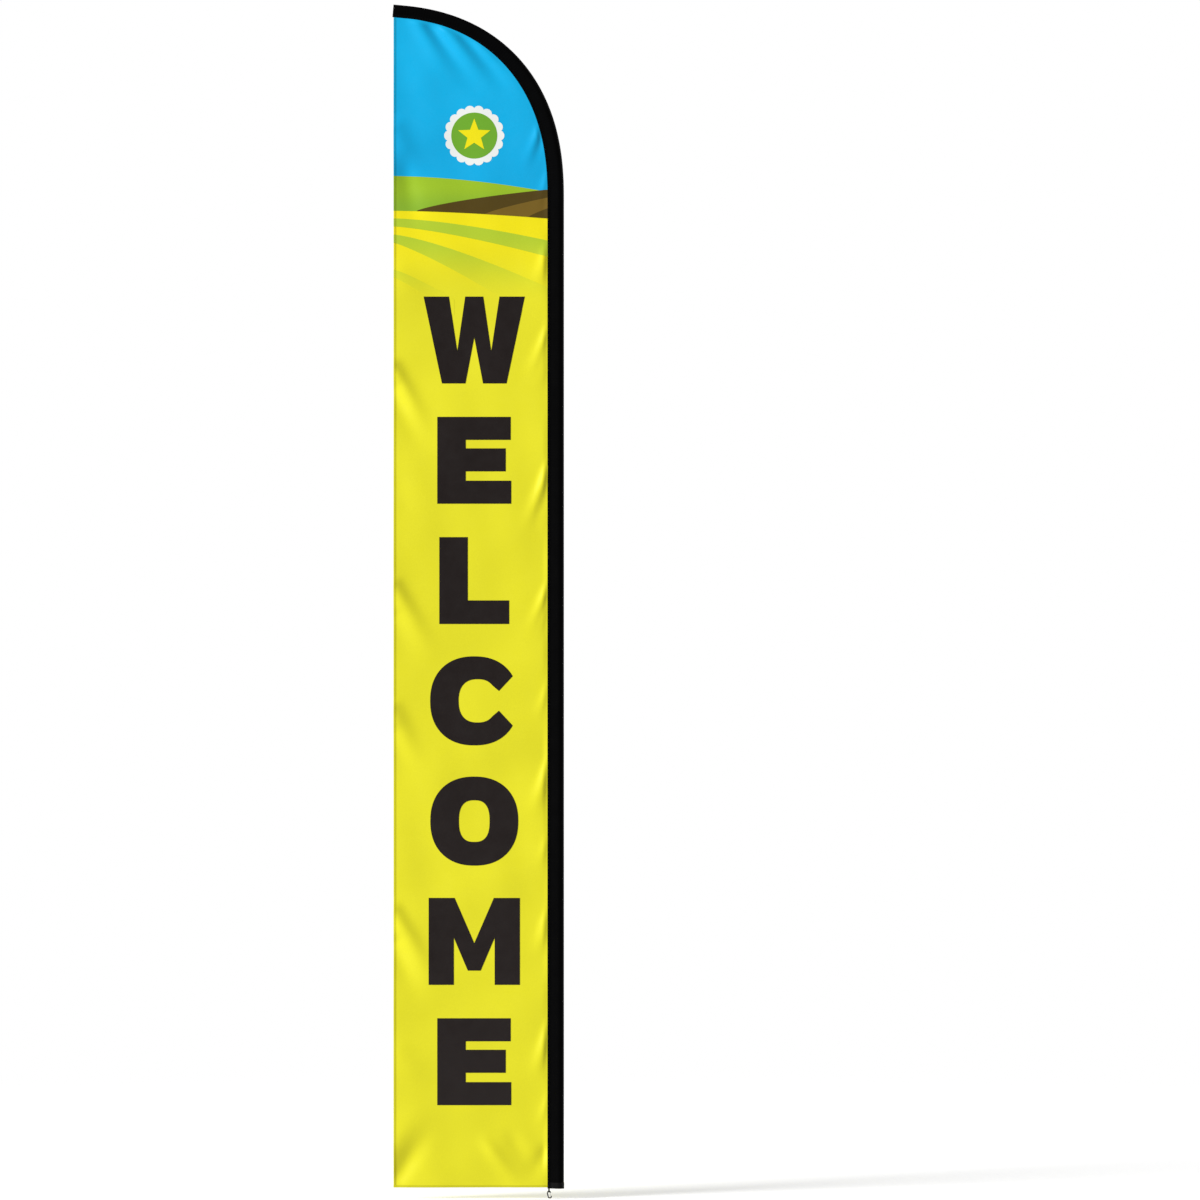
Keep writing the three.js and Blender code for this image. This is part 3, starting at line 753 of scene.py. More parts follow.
@dataclass(frozen=True)
class FoldField:
    """How far the cloth stands towards the front at x, z: folds, a slow billow and unevenness."""

    line: SleeveLine
    billow: float = 6.5
    seed: int = 11

    @cached_property
    def ridges(self) -> list[Ridge]:
        """The folds: those from the tip, those from the free edge, the corners' and the seam's."""
        return [Ridge(*row) for row in TIP_FOLDS + FREE_EDGE_FOLDS + CORNER_FOLDS] + self._from_seam()

    def _from_seam(self) -> list[Ridge]:
        """Puckers that run steeply down from the sleeve, each a crest with a crease on its far side."""
        made: list[Ridge] = []
        for top, side, drop, rise in SEAM_PUCKERS:
            seam = float(self.line.seam_x(np.array([top]))[0])
            crest = (seam + 6.0, top + 20.0, seam - 10.0 - side, top - drop, 9.0, 1.5 * rise, 1.3, 0.16)
            crease = (seam + 20.0, top + 4.0, seam - side + 12.0, top - drop + 8.0, 7.5, -rise, 1.1, 0.16)
            made += [Ridge(*crest), Ridge(*crease)]
        return made

    def height(self, x: np.ndarray, z: np.ndarray) -> np.ndarray:
        """How far the cloth stands towards the front, zero where the sleeve holds it.

        Args:
            x: places across the flag.
            z: heights.

        Returns:
            Millimetres towards the front, the same shape as x.
        """
        shape = x.shape
        x, z = x.ravel().astype(float), z.ravel().astype(float)
        total = np.zeros_like(x)
        for ridge in self.ridges:
            reach = 4.0 * ridge.width * (1.0 + ridge.spread)
            near = (z > min(ridge.z0, ridge.z1) - reach) & (z < max(ridge.z0, ridge.z1) + reach)
            total[near] += ridge.height(x[near], z[near])
        total += self._uneven(x, z)
        distance = np.maximum(self.line.seam_distance(x.copy(), z), 0.0)
        held = smooth_step((distance - 6.0) / 25.0)
        slack = distance / 560.0
        wave = np.sin(z / 302.0 + 0.6) * slack**1.5 + 0.4 * np.sin(z / 131.0 + 2.0) * slack**2
        return (total * held + self.billow * wave * smooth_step(distance / 120.0)).reshape(shape)

    def _uneven(self, x: np.ndarray, z: np.ndarray) -> np.ndarray:
        """Ten plane waves of random direction and length, the cloth's small unevenness."""
        draw = np.random.default_rng(self.seed)
        total = np.zeros_like(x)
        for _ in range(10):
            angle, wave = draw.uniform(0.0, math.pi), draw.uniform(130.0, 420.0)
            phase = draw.uniform(0.0, 6.28)
            turn = 2.0 * math.pi / wave
            total += 0.0019 * wave * np.sin(turn * (x * math.cos(angle) + z * math.sin(angle)) + phase)
        return total


# ---------------------------------------------------------------------------
# The flag's cloth
# ---------------------------------------------------------------------------


@dataclass(frozen=True)
class FlagCloth:
    """Front cloth, blockout liner and back cloth, sewn together with one hem."""

    line: SleeveLine
    folds: FoldField
    outside: float = 1.1  # middle of the flag to the outside of a cloth
    inside: float = 0.45
    liner: float = 0.25
    hem_width: float = 9.0
    hem_rise: float = 0.75
    stitch_line: float = 7.4
    step: float = 8.5
    bottom: float = 2.0

    @property
    def edge_steps(self) -> np.ndarray:
        """Distances from an edge that draw its hem: rounding, stitch line and step down."""
        return np.array([0.0, 0.4, 1.1, 3.4, 6.0, 6.8, 7.4, 8.0, 8.7, 9.5, 11.0, 14.0])

    def _hem(self, distance: np.ndarray) -> np.ndarray:
        """The hem's rise: a plateau to its width, rounded at the edge and pulled in by its stitches."""
        plateau = smooth_step((self.hem_width + 0.6 - distance) / 1.2)
        groove = 0.7 * np.exp(-(((distance - self.stitch_line) / 0.75) ** 2))
        rounding = 1.0 * (1.0 - smooth_step(distance / 1.1))
        return plateau - groove - rounding

    def half_thickness(self, x: np.ndarray, z: np.ndarray) -> np.ndarray:
        """Half of the flag's thickness, which is more at its two hems and never so in the sleeve."""
        side = self._hem(x - self.line.free_edge)
        low = self._hem(z - self.bottom) * smooth_step((self.line.seam_x(z) - 14.0 - x) / 20.0)
        return self.outside + self.hem_rise * np.maximum(side, low)

    def surface(
        self, x: np.ndarray, z: np.ndarray, side: float, lift: float | np.ndarray = 0.0
    ) -> np.ndarray:
        """Points on one outside of the flag: y = -fold + side * (half thickness + lift)."""
        y = -self.folds.height(x, z) + side * (self.half_thickness(x, z) + lift)
        return np.stack([x, y, z], axis=-1)

    def _places(self) -> tuple[np.ndarray, np.ndarray]:
        """A grid over the whole cloth: rows at the seam's own heights, columns from the free edge."""
        free, border = self.line.free_edge, 20.0
        full = self.line.seam[0, 1] - free
        even = np.arange(border, full - 60.0, self.step)
        columns = np.concatenate([self.edge_steps, even, full - np.arange(60.0, -0.1, -5.0)])
        above = np.concatenate([self.edge_steps, np.arange(border, self.line.length, self.step)])
        length = above + self.bottom - self.line.mouth
        known, *edge = self.line.seam.T[:3]
        seam = np.stack([np.interp(length, known, column) for column in edge], axis=-1)
        seam = seam[(seam[:, 0] > free + 4.0) & (length < self.line.seam[-1, 0])]
        width = (seam[:, 0] - free)[:, None]
        near = np.minimum(1.0, width / 60.0)
        stretch = (width - border * near) / (full - border)
        x = np.where(columns < border, columns * near, border * near + (columns - border) * stretch)
        return x + free, np.broadcast_to(seam[:, 1:], x.shape)

    def area(self) -> float:
        """The flat area of one ply in square metres, the seam's x less the free edge over its height."""
        z = np.linspace(self.bottom, self.line.seam[-1, 2], 4000)
        width = self.line.seam_x(z) - self.line.free_edge
        return float(np.sum((width[1:] + width[:-1]) * np.diff(z)) / 2.0) * MM * MM

    def build(self) -> dict[str, bpy.types.Object]:
        """Makes the three cloths and returns them by name."""
        x, z = self._places()
        fold, outside = -self.folds.height(x, z), self.half_thickness(x, z)
        made = {}
        for name, node, near, far, finish in (
            ("front_cloth", "front_panel", FRONT * outside, FRONT * self.inside, FIELD),
            ("back_cloth", "back_panel", BACK * outside, BACK * self.inside, FIELD),
            ("liner_cloth", "blockout_liner", -self.liner, self.liner, LINER),
        ):
            shell = thin_solid(*(np.stack([x, fold + y, z], axis=-1) for y in (near, far)))
            made[name] = add_piece(name, shell, finish, "flag", [node])
        return made


# ---------------------------------------------------------------------------
# The print
# ---------------------------------------------------------------------------


def inside_loops(points: np.ndarray, loops: Sequence[np.ndarray]) -> np.ndarray:
    """Whether each point is inside: an odd number of the loops' edges lie to its right."""
    crossings = np.zeros(len(points), int)
    for loop in loops:
        after = np.roll(loop, -1, axis=0)
        spans = (loop[None, :, 1] > points[:, None, 1]) != (after[None, :, 1] > points[:, None, 1])
        run = np.where(np.abs(after[:, 1] - loop[:, 1]) < 1e-12, 1e-12, after[:, 1] - loop[:, 1])
        share = (points[:, None, 1] - loop[None, :, 1]) / run[None]
        meets = loop[None, :, 0] + share * (after - loop)[None, :, 0]
        crossings += (spans & (points[:, None, 0] < meets)).sum(axis=1)
    return crossings % 2 == 1


def spaced_loop(loop: np.ndarray, step: float) -> np.ndarray:
    """The same closed loop with points no further apart than step, its corners kept."""
    after = np.roll(loop, -1, axis=0)
    counts = np.maximum(1, np.ceil(np.linalg.norm(after - loop, axis=1) / step)).astype(int)
    first = np.repeat(np.arange(len(loop)), counts)
    share = (np.arange(counts.sum()) - np.repeat(np.cumsum(counts) - counts, counts)) / counts[first]
    return loop[first] + (after - loop)[first] * share[:, None]


def flat_triangles(loops: Sequence[np.ndarray], step: float) -> tuple[np.ndarray, np.ndarray]:
    """Fills closed loops with even triangles, with holes left open.

    Args:
        loops: outlines and holes as closed rows of points.
        step: the spacing of the points.

    Returns:
        The points and the triangles between them.
    """
    edges = [spaced_loop(loop, step) for loop in loops]
    outline = np.concatenate(edges)
    first = np.cumsum([0] + [len(loop) for loop in edges[:-1]])
    links = []
    for loop, start in zip(edges, first):
        here = np.arange(len(loop))
        links.append(np.stack([here, (here + 1) % len(loop)], axis=-1) + start)
    low, high = outline.min(axis=0), outline.max(axis=0)
    fill = np.stack(np.meshgrid(*(np.arange(a, b, step) for a, b in zip(low, high))), axis=-1).reshape(-1, 2)
    fill = fill[inside_loops(fill, edges)]
    gap = np.min(np.linalg.norm(fill[:, None] - outline[None], axis=-1), axis=1) if len(fill) else np.zeros(0)
    points = np.concatenate([outline, fill[gap > 0.55 * step]])
    corners = [Vector(point) for point in points.tolist()]
    result = delaunay_2d_cdt(corners, np.concatenate(links).tolist(), [], 0, 1e-3)
    placed = np.array([tuple(v) for v in result[0]])
    triangles = np.array(result[2], int)
    kept = inside_loops(placed[triangles].mean(axis=1), edges)
    return placed, triangles[kept]


def superellipse(half_width: float, half_height: float, power: float, start: float, end: float) -> np.ndarray:
    """Points w sgn(c)|c|^(2/n), h sgn(s)|s|^(2/n) for angles in degrees, c and s their cosine and sine."""
    angle = np.radians(np.linspace(start, end, max(8, int(abs(end - start) / 4.0)) + 1))
    c, s = np.cos(angle), np.sin(angle)
    x = half_width * np.sign(c) * np.abs(c) ** (2.0 / power)
    z = half_height * np.sign(s) * np.abs(s) ** (2.0 / power)
    return np.stack([x, z], axis=-1)


class Letter(Enum):
    """The heavy plain capitals of a welcome, each within a box 317 mm high."""

    W = "W"
    E = "E"
    L = "L"
    C = "C"
    O = "O"  # noqa: E741
    M = "M"

    @property
    def loops(self) -> list[np.ndarray]:
        """The letter's outline and hole, centred on its own box."""
        cap = 317.0
        if self is Letter.O:
            return [superellipse(160.5, 162.5, 2.25, 0, 356), superellipse(56.0, 76.0, 2.6, 0, 356)]
        if self is Letter.C:
            outer = superellipse(161.0, 162.5, 2.25, 31, 329)
            inner = superellipse(69.0, 79.0, 2.4, 318, 42) + np.array([12.0, 0.0])
            return [np.concatenate([outer, [(90.0, -36.0)], inner, [(90.0, 36.0)]])]
        corners = {
            Letter.E: [(0, 0), (270, 0), (270, 84), (104, 84), (104, 118), (250, 118), (250, 202), (104, 202),
                       (104, 233), (268, 233), (268, cap), (0, cap)],
            Letter.L: [(0, 0), (255, 0), (255, 86), (104, 86), (104, cap), (0, cap)],
            Letter.W: [(0, cap), (67, 0), (153, 0), (185, 168), (217, 0), (303, 0), (370, cap), (277, cap),
                       (247, 118), (218, cap), (152, cap), (123, 118), (93, cap)],
            Letter.M: [(0, 0), (92, 0), (92, 172), (143, 52), (190, 52), (241, 172), (241, 0), (333, 0),
                       (333, cap), (238, cap), (166.5, 152), (95, cap), (0, cap)],
        }[self]
        points = np.array(corners, float)
        return [points - (points.min(axis=0) + points.max(axis=0)) / 2.0]


# The furrows: height at the left, fall, bend of the fall, depth at the left and right, and where each stops.
FURROWS = (
    (3539.0, 81.0, 1.5, 29.0, 59.0, 1.0),
    (3480.0, 193.0, 1.32, 31.0, 150.0, 1.0),
    (3352.0, 330.0, 1.2, 30.0, 110.0, 0.4),
)


@dataclass(frozen=True)
class Print:
    """The printed colours of both faces: sky, hills, field bands, a rosette and a greeting."""

    cloth: FlagCloth
    layer_rise: float = 0.42
    layer_foot: float = 0.14
    melt_depth: float = 0.8
    tuck: float = 6.0  # a colour stops this far inside the cloth's edge under the sleeve
    letter_centre: float = -310.0
    letter_pitch: float = 439.0
    top_letter: float = 3095.0  # height of the middle of the top letter
    rosette_centre: tuple[float, float] = (-310.0, 3841.0)
    columns: int = 70

    @property
    def line(self) -> SleeveLine:
        """The sleeve's line."""
        return self.cloth.line

    @property
    def right(self) -> float:
        """Where the print ends at the sleeve."""
        return self.line.outer_edge - self.line.width

    def across(self, x: np.ndarray, side: float) -> np.ndarray:
        """The art's own x, which runs left to right as each face is looked at."""
        return x if side == FRONT else self.line.free_edge + self.line.outer_edge - self.line.width - x

    def _skins(
        self, x: np.ndarray, z: np.ndarray, side: float, layer: int, sunk: float | np.ndarray = 0.0
    ) -> list[np.ndarray]:
        """The top and foot of a colour that has layer - 1 others under it, sunk into the cloth."""
        lifts = (self.layer_rise * layer - sunk, self.layer_rise * (layer - 1) + self.layer_foot - sunk)
        return [self.cloth.surface(x, z, side, lift) for lift in lifts]

    def _raised(self, x: np.ndarray, z: np.ndarray, side: float, layer: int, melts: bool = False) -> Shell:
        """A thin closed piece over a grid of places on one face.

        Args:
            x: places across the flag.
            z: heights.
            side: the face that it is on.
            layer: its place among the colours, 1 on the cloth itself.
            melts: its first row and its end columns sink into the cloth, so no edge shows there.

        Returns:
            The closed shell.
        """
        sunk = np.zeros_like(x)
        if melts:
            sunk[0] = self.melt_depth
            sunk[:, [0, -1]] = self.melt_depth
        return thin_solid(*self._skins(x, z, side, layer, sunk))

    def _shape(self, loops: Sequence[np.ndarray], side: float, layer: int, step: float = 8.5) -> Shell:
        """A thin closed piece of any flat outline, laid on one face.

        Args:
            loops: outline and holes in the art's own x and z.
            side: the face that it is on.
            layer: its place among the colours, 1 on the cloth itself.
            step: spacing of its points.

        Returns:
            The closed shell.
        """
        flat, faces = flat_triangles(loops, step)
        skins = self._skins(self.across(flat[:, 0], side), flat[:, 1], side, layer)
        count = len(flat)
        edges = np.concatenate([faces[:, [0, 1]], faces[:, [1, 2]], faces[:, [2, 0]]])
        key = edges[:, 0] * count + edges[:, 1]
        start, end = edges[~np.isin(edges[:, 1] * count + edges[:, 0], key)].T
        rim = np.stack([start, start + count, end + count, end], axis=-1)
        return Shell(np.concatenate(skins), rim, np.concatenate([faces, faces[:, ::-1] + count]))

    def _left_share(self, a: np.ndarray) -> np.ndarray:
        """0 at the art's left edge and beyond it, 1 at its right."""
        left = self.line.free_edge
        return np.maximum((a - left) / (self.right - left), 0.0)

    def hill_top(self, a: np.ndarray) -> np.ndarray:
        """The skyline: a low crest at the left that falls away to the right."""
        t = self._left_share(a)
        return 3694.0 - 8.0 * t - 50.0 * t**1.9

    def field_top(self, a: np.ndarray) -> np.ndarray:
        """Where the yellow field begins, a long shallow fall."""
        t = self._left_share(a)
        return 3567.0 - 2.0 * t - 26.0 * t**1.6

    def brown_top(self, a: np.ndarray) -> np.ndarray:
        """The ploughed field's upper edge, which rises from the field's to the skyline's right end."""
        t = np.clip((self._left_share(a) - 0.15) / 0.85, 0.0, 1.0)
        return self.field_top(a) + 1.0 + 107.0 * t**0.82 - 3.0 * t

    def _between(
        self,
        lower: Curve,
        upper: Curve,
        side: float,
        layer: int,
        span: tuple[float, float] = (0.0, 1.0),
        rows: int = 12,
        melts: bool = False,
    ) -> Shell:
        """A colour between two curves: z = lower + v (upper - lower) for v from 0 to 1.

        Its columns start with the hem's own where it reaches the free edge. Where it reaches the
        sleeve its last column depends on z, so the places are settled in four rounds.

        Args:
            lower: height of its lower edge over the art's x.
            upper: height of its upper edge.
            side: the face that it is on.
            layer: its place among the colours, 1 on the cloth itself.
            span: the share of the width that it covers, from the art's left.
            rows: rows of points between the curves.
            melts: its lower edge and its ends sink into the cloth.

        Returns:
            The closed shell.
        """
        near, far = span if side == FRONT else (1.0 - span[1], 1.0 - span[0])
        free = self.line.free_edge
        full = self.right - free
        start = free + near * full
        fixed, first = (self.cloth.edge_steps, 20.0) if near <= 0.0 else (np.zeros(1), 6.0)
        offset = np.concatenate([fixed, np.full(self.columns, first)])
        share = np.concatenate([np.zeros(len(fixed)), np.linspace(0.0, 1.0, self.columns)])
        v = np.linspace(0.0, 1.0, rows + 1)[:, None]
        stop = np.full((rows + 1, len(share)), free + far * full)
        x = z = stop
        for _ in range(4):
            x = start + offset + (stop - start - first) * share
            a = self.across(x, side)
            z = lower(a) + (upper(a) - lower(a)) * v
            if far >= 1.0:
                stop = self.line.seam_x(z, self.tuck)
        return self._raised(x, z, side, layer, melts)

    def _sky(self, side: float) -> Shell:
        """The sky: over each x, from the skyline up to the sleeve, columns closer near the sleeve."""
        free = self.line.free_edge
        probe = np.linspace(free, -34.0, 4000)
        gap = self.line.seam_z(probe, self.tuck) - self.hill_top(self.across(probe, side))
        last = float(probe[np.nonzero(gap > 0.5)[0][-1]])
        rest = 1.0 - (1.0 - np.linspace(0.0, 1.0, 124)) ** 1.5
        start = free + 20.0
        column = np.concatenate([free + self.cloth.edge_steps, start + (last - start) * rest])
        x, v = np.meshgrid(column, 1.0 - (1.0 - np.linspace(0.0, 1.0, 108)) ** 1.35)
        low, high = self.hill_top(self.across(x, side)), self.line.seam_z(x, self.tuck)
        return self._raised(x, low + (high - low) * v, side, 1)

    def _band(self, side: float, row: Sequence[float]) -> Shell:
        """A green furrow that falls away to the right and grows wider."""
        start, drop, bend, thin, thick, stop = row

        def upper(a: np.ndarray) -> np.ndarray:
            return start - drop * np.minimum(self._left_share(a), 1.2) ** bend

        def lower(a: np.ndarray) -> np.ndarray:
            return upper(a) - thin - (thick - thin) * np.minimum(self._left_share(a), 1.2)

        return self._between(lower, upper, side, 1, (0.0, stop), melts=start < 3500.0)

    def _furrow(self, side: float, left: float, rise: float, layer: int) -> Shell:
        """A wedge of the ploughed field from the field's edge up to a line that rises to the right."""

        def upper(a: np.ndarray) -> np.ndarray:
            t = np.clip((self._left_share(a) - left) / (1.0 - left), 0.0, 1.0)
            return self.field_top(a) + 0.8 + rise * t**0.86

        return self._between(self.field_top, upper, side, layer, (left, 1.0), 5)

    def _rosette(self, side: float) -> list[tuple[str, Shell, Finish]]:
        """A plain show rosette: scalloped white edge, green centre and a five-pointed star."""
        middle = np.array(self.rosette_centre)
        angle = full_turn(216)
        spoke = directions(angle)
        scallop = (100.0 + 10.0 * np.abs(np.cos(9.0 * angle)) ** 0.7)[:, None] * spoke + middle
        corner = np.arange(10)
        radius = np.where(corner % 2 == 0, 62.0, 26.0)
        star = directions(math.pi / 2.0 + corner * math.pi / 5.0) * radius[:, None] + middle
        return [
            ("rosette_edge", self._shape([scallop], side, 2), WHITE),
            ("rosette_centre", self._shape([84.0 * spoke[::3] + middle], side, 3), GREEN),
            ("rosette_star", self._shape([star], side, 4, 6.0), FIELD),
        ]

    def _greeting(self, side: float) -> Shell:
        """Seven capitals one under another."""
        made = []
        for place, letter in enumerate("WELCOME"):
            middle = np.array([self.letter_centre, self.top_letter - self.letter_pitch * place])
            made.append(self._shape([loop + middle for loop in Letter(letter).loops], side, 2))
        return Shell.together(made)

    def build(self) -> dict[str, list[bpy.types.Object]]:
        """Makes every printed colour on both faces and returns them by face."""
        faces = {}
        for name, side in (("front", FRONT), ("back", BACK)):
            ploughed = self._between(self.field_top, self.brown_top, side, 2, (0.152, 1.0))
            parts = [
                ("sky", self._sky(side), SKY),
                ("hill", self._between(self.field_top, self.hill_top, side, 1, rows=16), HILL),
                ("ploughed_field", ploughed, BROWN),
                ("ploughed_light", self._furrow(side, 0.595, 75.0, 3), BROWN_LIGHT),
                ("ploughed_corner", self._furrow(side, 0.878, 36.0, 4), BROWN),
                ("field_bands", Shell.together([self._band(side, row) for row in FURROWS]), BAND),
                *self._rosette(side),
                ("greeting", self._greeting(side), DARK),
            ]
            faces[name] = [add_piece(f"{name}_{part}", shell, look, "flag") for part, shell, look in parts]
        return faces


# ---------------------------------------------------------------------------
# The sleeve and its stitching
# ---------------------------------------------------------------------------


@dataclass(frozen=True)
class PoleSleeve:
    """The black cloth sleeve: round the pole, flat at its seam, closed at the tip."""

    line: SleeveLine
    half_gap: float = 1.2  # inside of the seam, each side of the plies
    high_half_gap: float = 1.9  # the same where the print runs under it
    gap_grows: tuple[float, float] = (2900.0, 3100.0)
    station_step: float = 7.0
    flat_station: int = 40  # the station whose section gives the flat width
    seed: int = 5

    def _gap(self, length: np.ndarray) -> np.ndarray:
        """The seam's half gap along the sleeve."""
        low, high = self.gap_grows
        share = smooth_step((length - low) / (high - low))
        return self.half_gap + (self.high_half_gap - self.half_gap) * share

    def section(self, length: np.ndarray, place: np.ndarray, offset: float) -> tuple[np.ndarray, np.ndarray]:
        """The sleeve's section at lengths along it.

        From place 0, at the seam's edge, a leg runs flat to place 1, straight to where it meets the
        round at place 2, and round the pole to place 3, its outermost point. Negative places mirror.

        Args:
            length: stations along the sleeve, shape (n, 1) or matching place.
            place: places round the section.
            offset: distance outside the inner skin.

        Returns:
            Distance from the pole's centre outwards, and across the sleeve.
        """
        columns = self.line.at(length)
        width, pocket = columns[..., 4], columns[..., 5]
        edge = pocket + self.line.wall - width
        height = self._gap(length) + offset
        radius = pocket + offset
        fork = edge + self.line.overlap
        leaves = np.arctan2(height, fork) - np.arccos(radius / np.hypot(fork, height))
        size, sign = np.abs(place), np.where(place < 0.0, -1.0, 1.0)
        flat, slope, turn = np.clip(size, 0, 1), np.clip(size - 1, 0, 1), np.clip(size - 2, 0, 1)
        meet_u, meet_v = radius * np.cos(leaves), radius * np.sin(leaves)
        angle = leaves * (1.0 - turn)
        u = np.where(size <= 1, edge + (fork - edge) * flat, fork + (meet_u - fork) * slope)
        v = np.where(size <= 1, height, height + (meet_v - height) * slope)
        bulge = self._slack(length) * np.sin(math.pi * slope) ** 2 * (size < 2)
        u = np.where(size <= 2, u, radius * np.cos(angle))
        v = np.where(size <= 2, v + bulge, radius * np.sin(angle))
        return u, sign * v

    def _slack(self, length: np.ndarray) -> np.ndarray:
        """How far the cloth between seam and pole stands out, in soft uneven puffs."""
        draw = np.random.default_rng(self.seed)
        total = np.full_like(length, 0.75)
        for _ in range(9):
            wave, phase = draw.uniform(38.0, 190.0), draw.uniform(0.0, 6.28)
            total = total + 0.12 * np.sin(2.0 * math.pi * length / wave + phase)
        return np.maximum(total, 0.1) * smooth_step(length / 60.0)

    def points(self, length: np.ndarray, place: np.ndarray, offset: float) -> np.ndarray:
        """Points of the section carried along the pole's centre line."""
        u, v = self.section(length, place, offset)
        u, v, length = np.broadcast_arrays(u, v, length)
        centre = self.line.centre(length)
        normal = self.line.at(length)[..., 2:4]
        return centre + np.stack([u * normal[..., 0], v, u * normal[..., 1]], axis=-1)

    @cached_property
    def places(self) -> np.ndarray:
        """Where the section has its points, from the front leg's edge round to the back's."""
        leg, slope = (0.001, 0.03, 0.1, 0.3, 0.5, 0.7, 0.85), np.linspace(1.0, 2.0, 8)
        half = np.concatenate([leg, slope, np.linspace(2.0, 3.0, 13)[1:]])
        return np.concatenate([half, 6.0 - half[-2::-1]])

    def _folded(self, place: np.ndarray) -> np.ndarray:
        """Places beyond 3 go back down on the far side, as negative places."""
        return np.where(place <= 3.0, place, -(6.0 - place))

    def _skin(self, length: np.ndarray, offset: float) -> np.ndarray:
        """The whole section at each station."""
        return self.points(length[:, None], self._folded(self.places)[None, :], offset)

    @cached_property
    def _stations(self) -> np.ndarray:
        """Lengths along the sleeve where its cloth has points, close together at its hemmed mouth."""
        end = self.line.length
        mouth = [0.0, 0.5, 1.4, 4.0, 7.6, 8.4, 9.4, 12.0]
        return np.concatenate([mouth, np.arange(18.0, end - 8.0, self.station_step), [end - 4.0, end - 1.3]])

    @cached_property
    def _outside(self) -> np.ndarray:
        """The sleeve's outside skin at every station."""
        return self._skin(self._stations, self.line.wall)

    @property
    def flat_size(self) -> tuple[float, float, float]:
        """The sleeve's flat width, length and area in metres."""
        grid = self._outside
        a, b = grid[1:, 1:] - grid[:-1, :-1], grid[1:, :-1] - grid[:-1, 1:]
        area = float(np.linalg.norm(np.cross(a, b), axis=-1).sum() / 2.0)
        return float(run_of(grid[self.flat_station])[-1]) * MM, self.line.length * MM, area * MM * MM

    def build(self) -> list[bpy.types.Object]:
        """Makes the sleeve, its closed tip and the tape round its mouth."""
        places = cloth_places(run_of(self._outside[self.flat_station])[None, :], self._stations[:, None])
        shell = thin_solid(self._outside, self._skin(self._stations, 0.0), places)
        sleeve = add_piece("pole_sleeve_cloth", shell, CANVAS, "flag", ["pole_sleeve"])
        return [sleeve, self._tip(), self._mouth_tape()]

    def _tip(self) -> bpy.types.Object:
        """The sewn end of the sleeve: its own section, filled, with a rounded rim."""
        end = self.line.length
        places = self._folded(self.places)
        depth = np.array([2.3, 1.8, 0.7, 0.25, 0.0])
        shrink = np.array([0.95, 0.985, 1.0, 0.985, 0.94])
        u, v = self.section(np.full((1, 1), end), places[None, :], self.line.wall)
        u, v = u * shrink[:, None], v * shrink[:, None]
        centre = self.line.centre(np.array([end]))[0]
        nx, nz = self.line.at(np.array([end]))[0, 2:4]
        normal, across, along = np.array([[nx, 0.0, nz], [0.0, 1.0, 0.0], [-nz, 0.0, nx]])
        points = centre + u[..., None] * normal + v[..., None] * across - depth[:, None, None] * along
        poles = np.stack([centre - along * depth[0], centre - along * depth[-1]])
        flat = np.stack([u, v], axis=-1) * MM
        shell = _with_poles(points, grid_faces(len(depth), len(places), round_columns=True), poles, flat)
        return add_piece("sleeve_tip_end", shell, CANVAS, "flag")

    def _mouth_tape(self) -> bpy.types.Object:
        """The binding tape round the sleeve's mouth, turned under at its edges."""
        length = np.array([0.0, 0.4, 1.2, 3.0, 5.0, 8.0, 11.0, 14.0, 17.0, 19.0, 20.8, 21.6, 22.0])
        pulled = np.array([0.45, 0.15, 0.0, 0.0, 0.0, 0.0, 0.0, 0.0, 0.0, 0.0, 0.0, 0.15, 0.45])
        near = self.line.wall + 0.3
        outer, inner = self._skin(length, near + 0.8), self._skin(length, near)
        outer = outer + (inner - outer) * pulled[:, None, None]
        shell = thin_solid(outer, inner, cloth_places(run_of(outer[5])[None, :], length[:, None]))
        return add_piece("sleeve_mouth_tape", shell, TAPE, "flag", ["sleeve_mouth_band"])


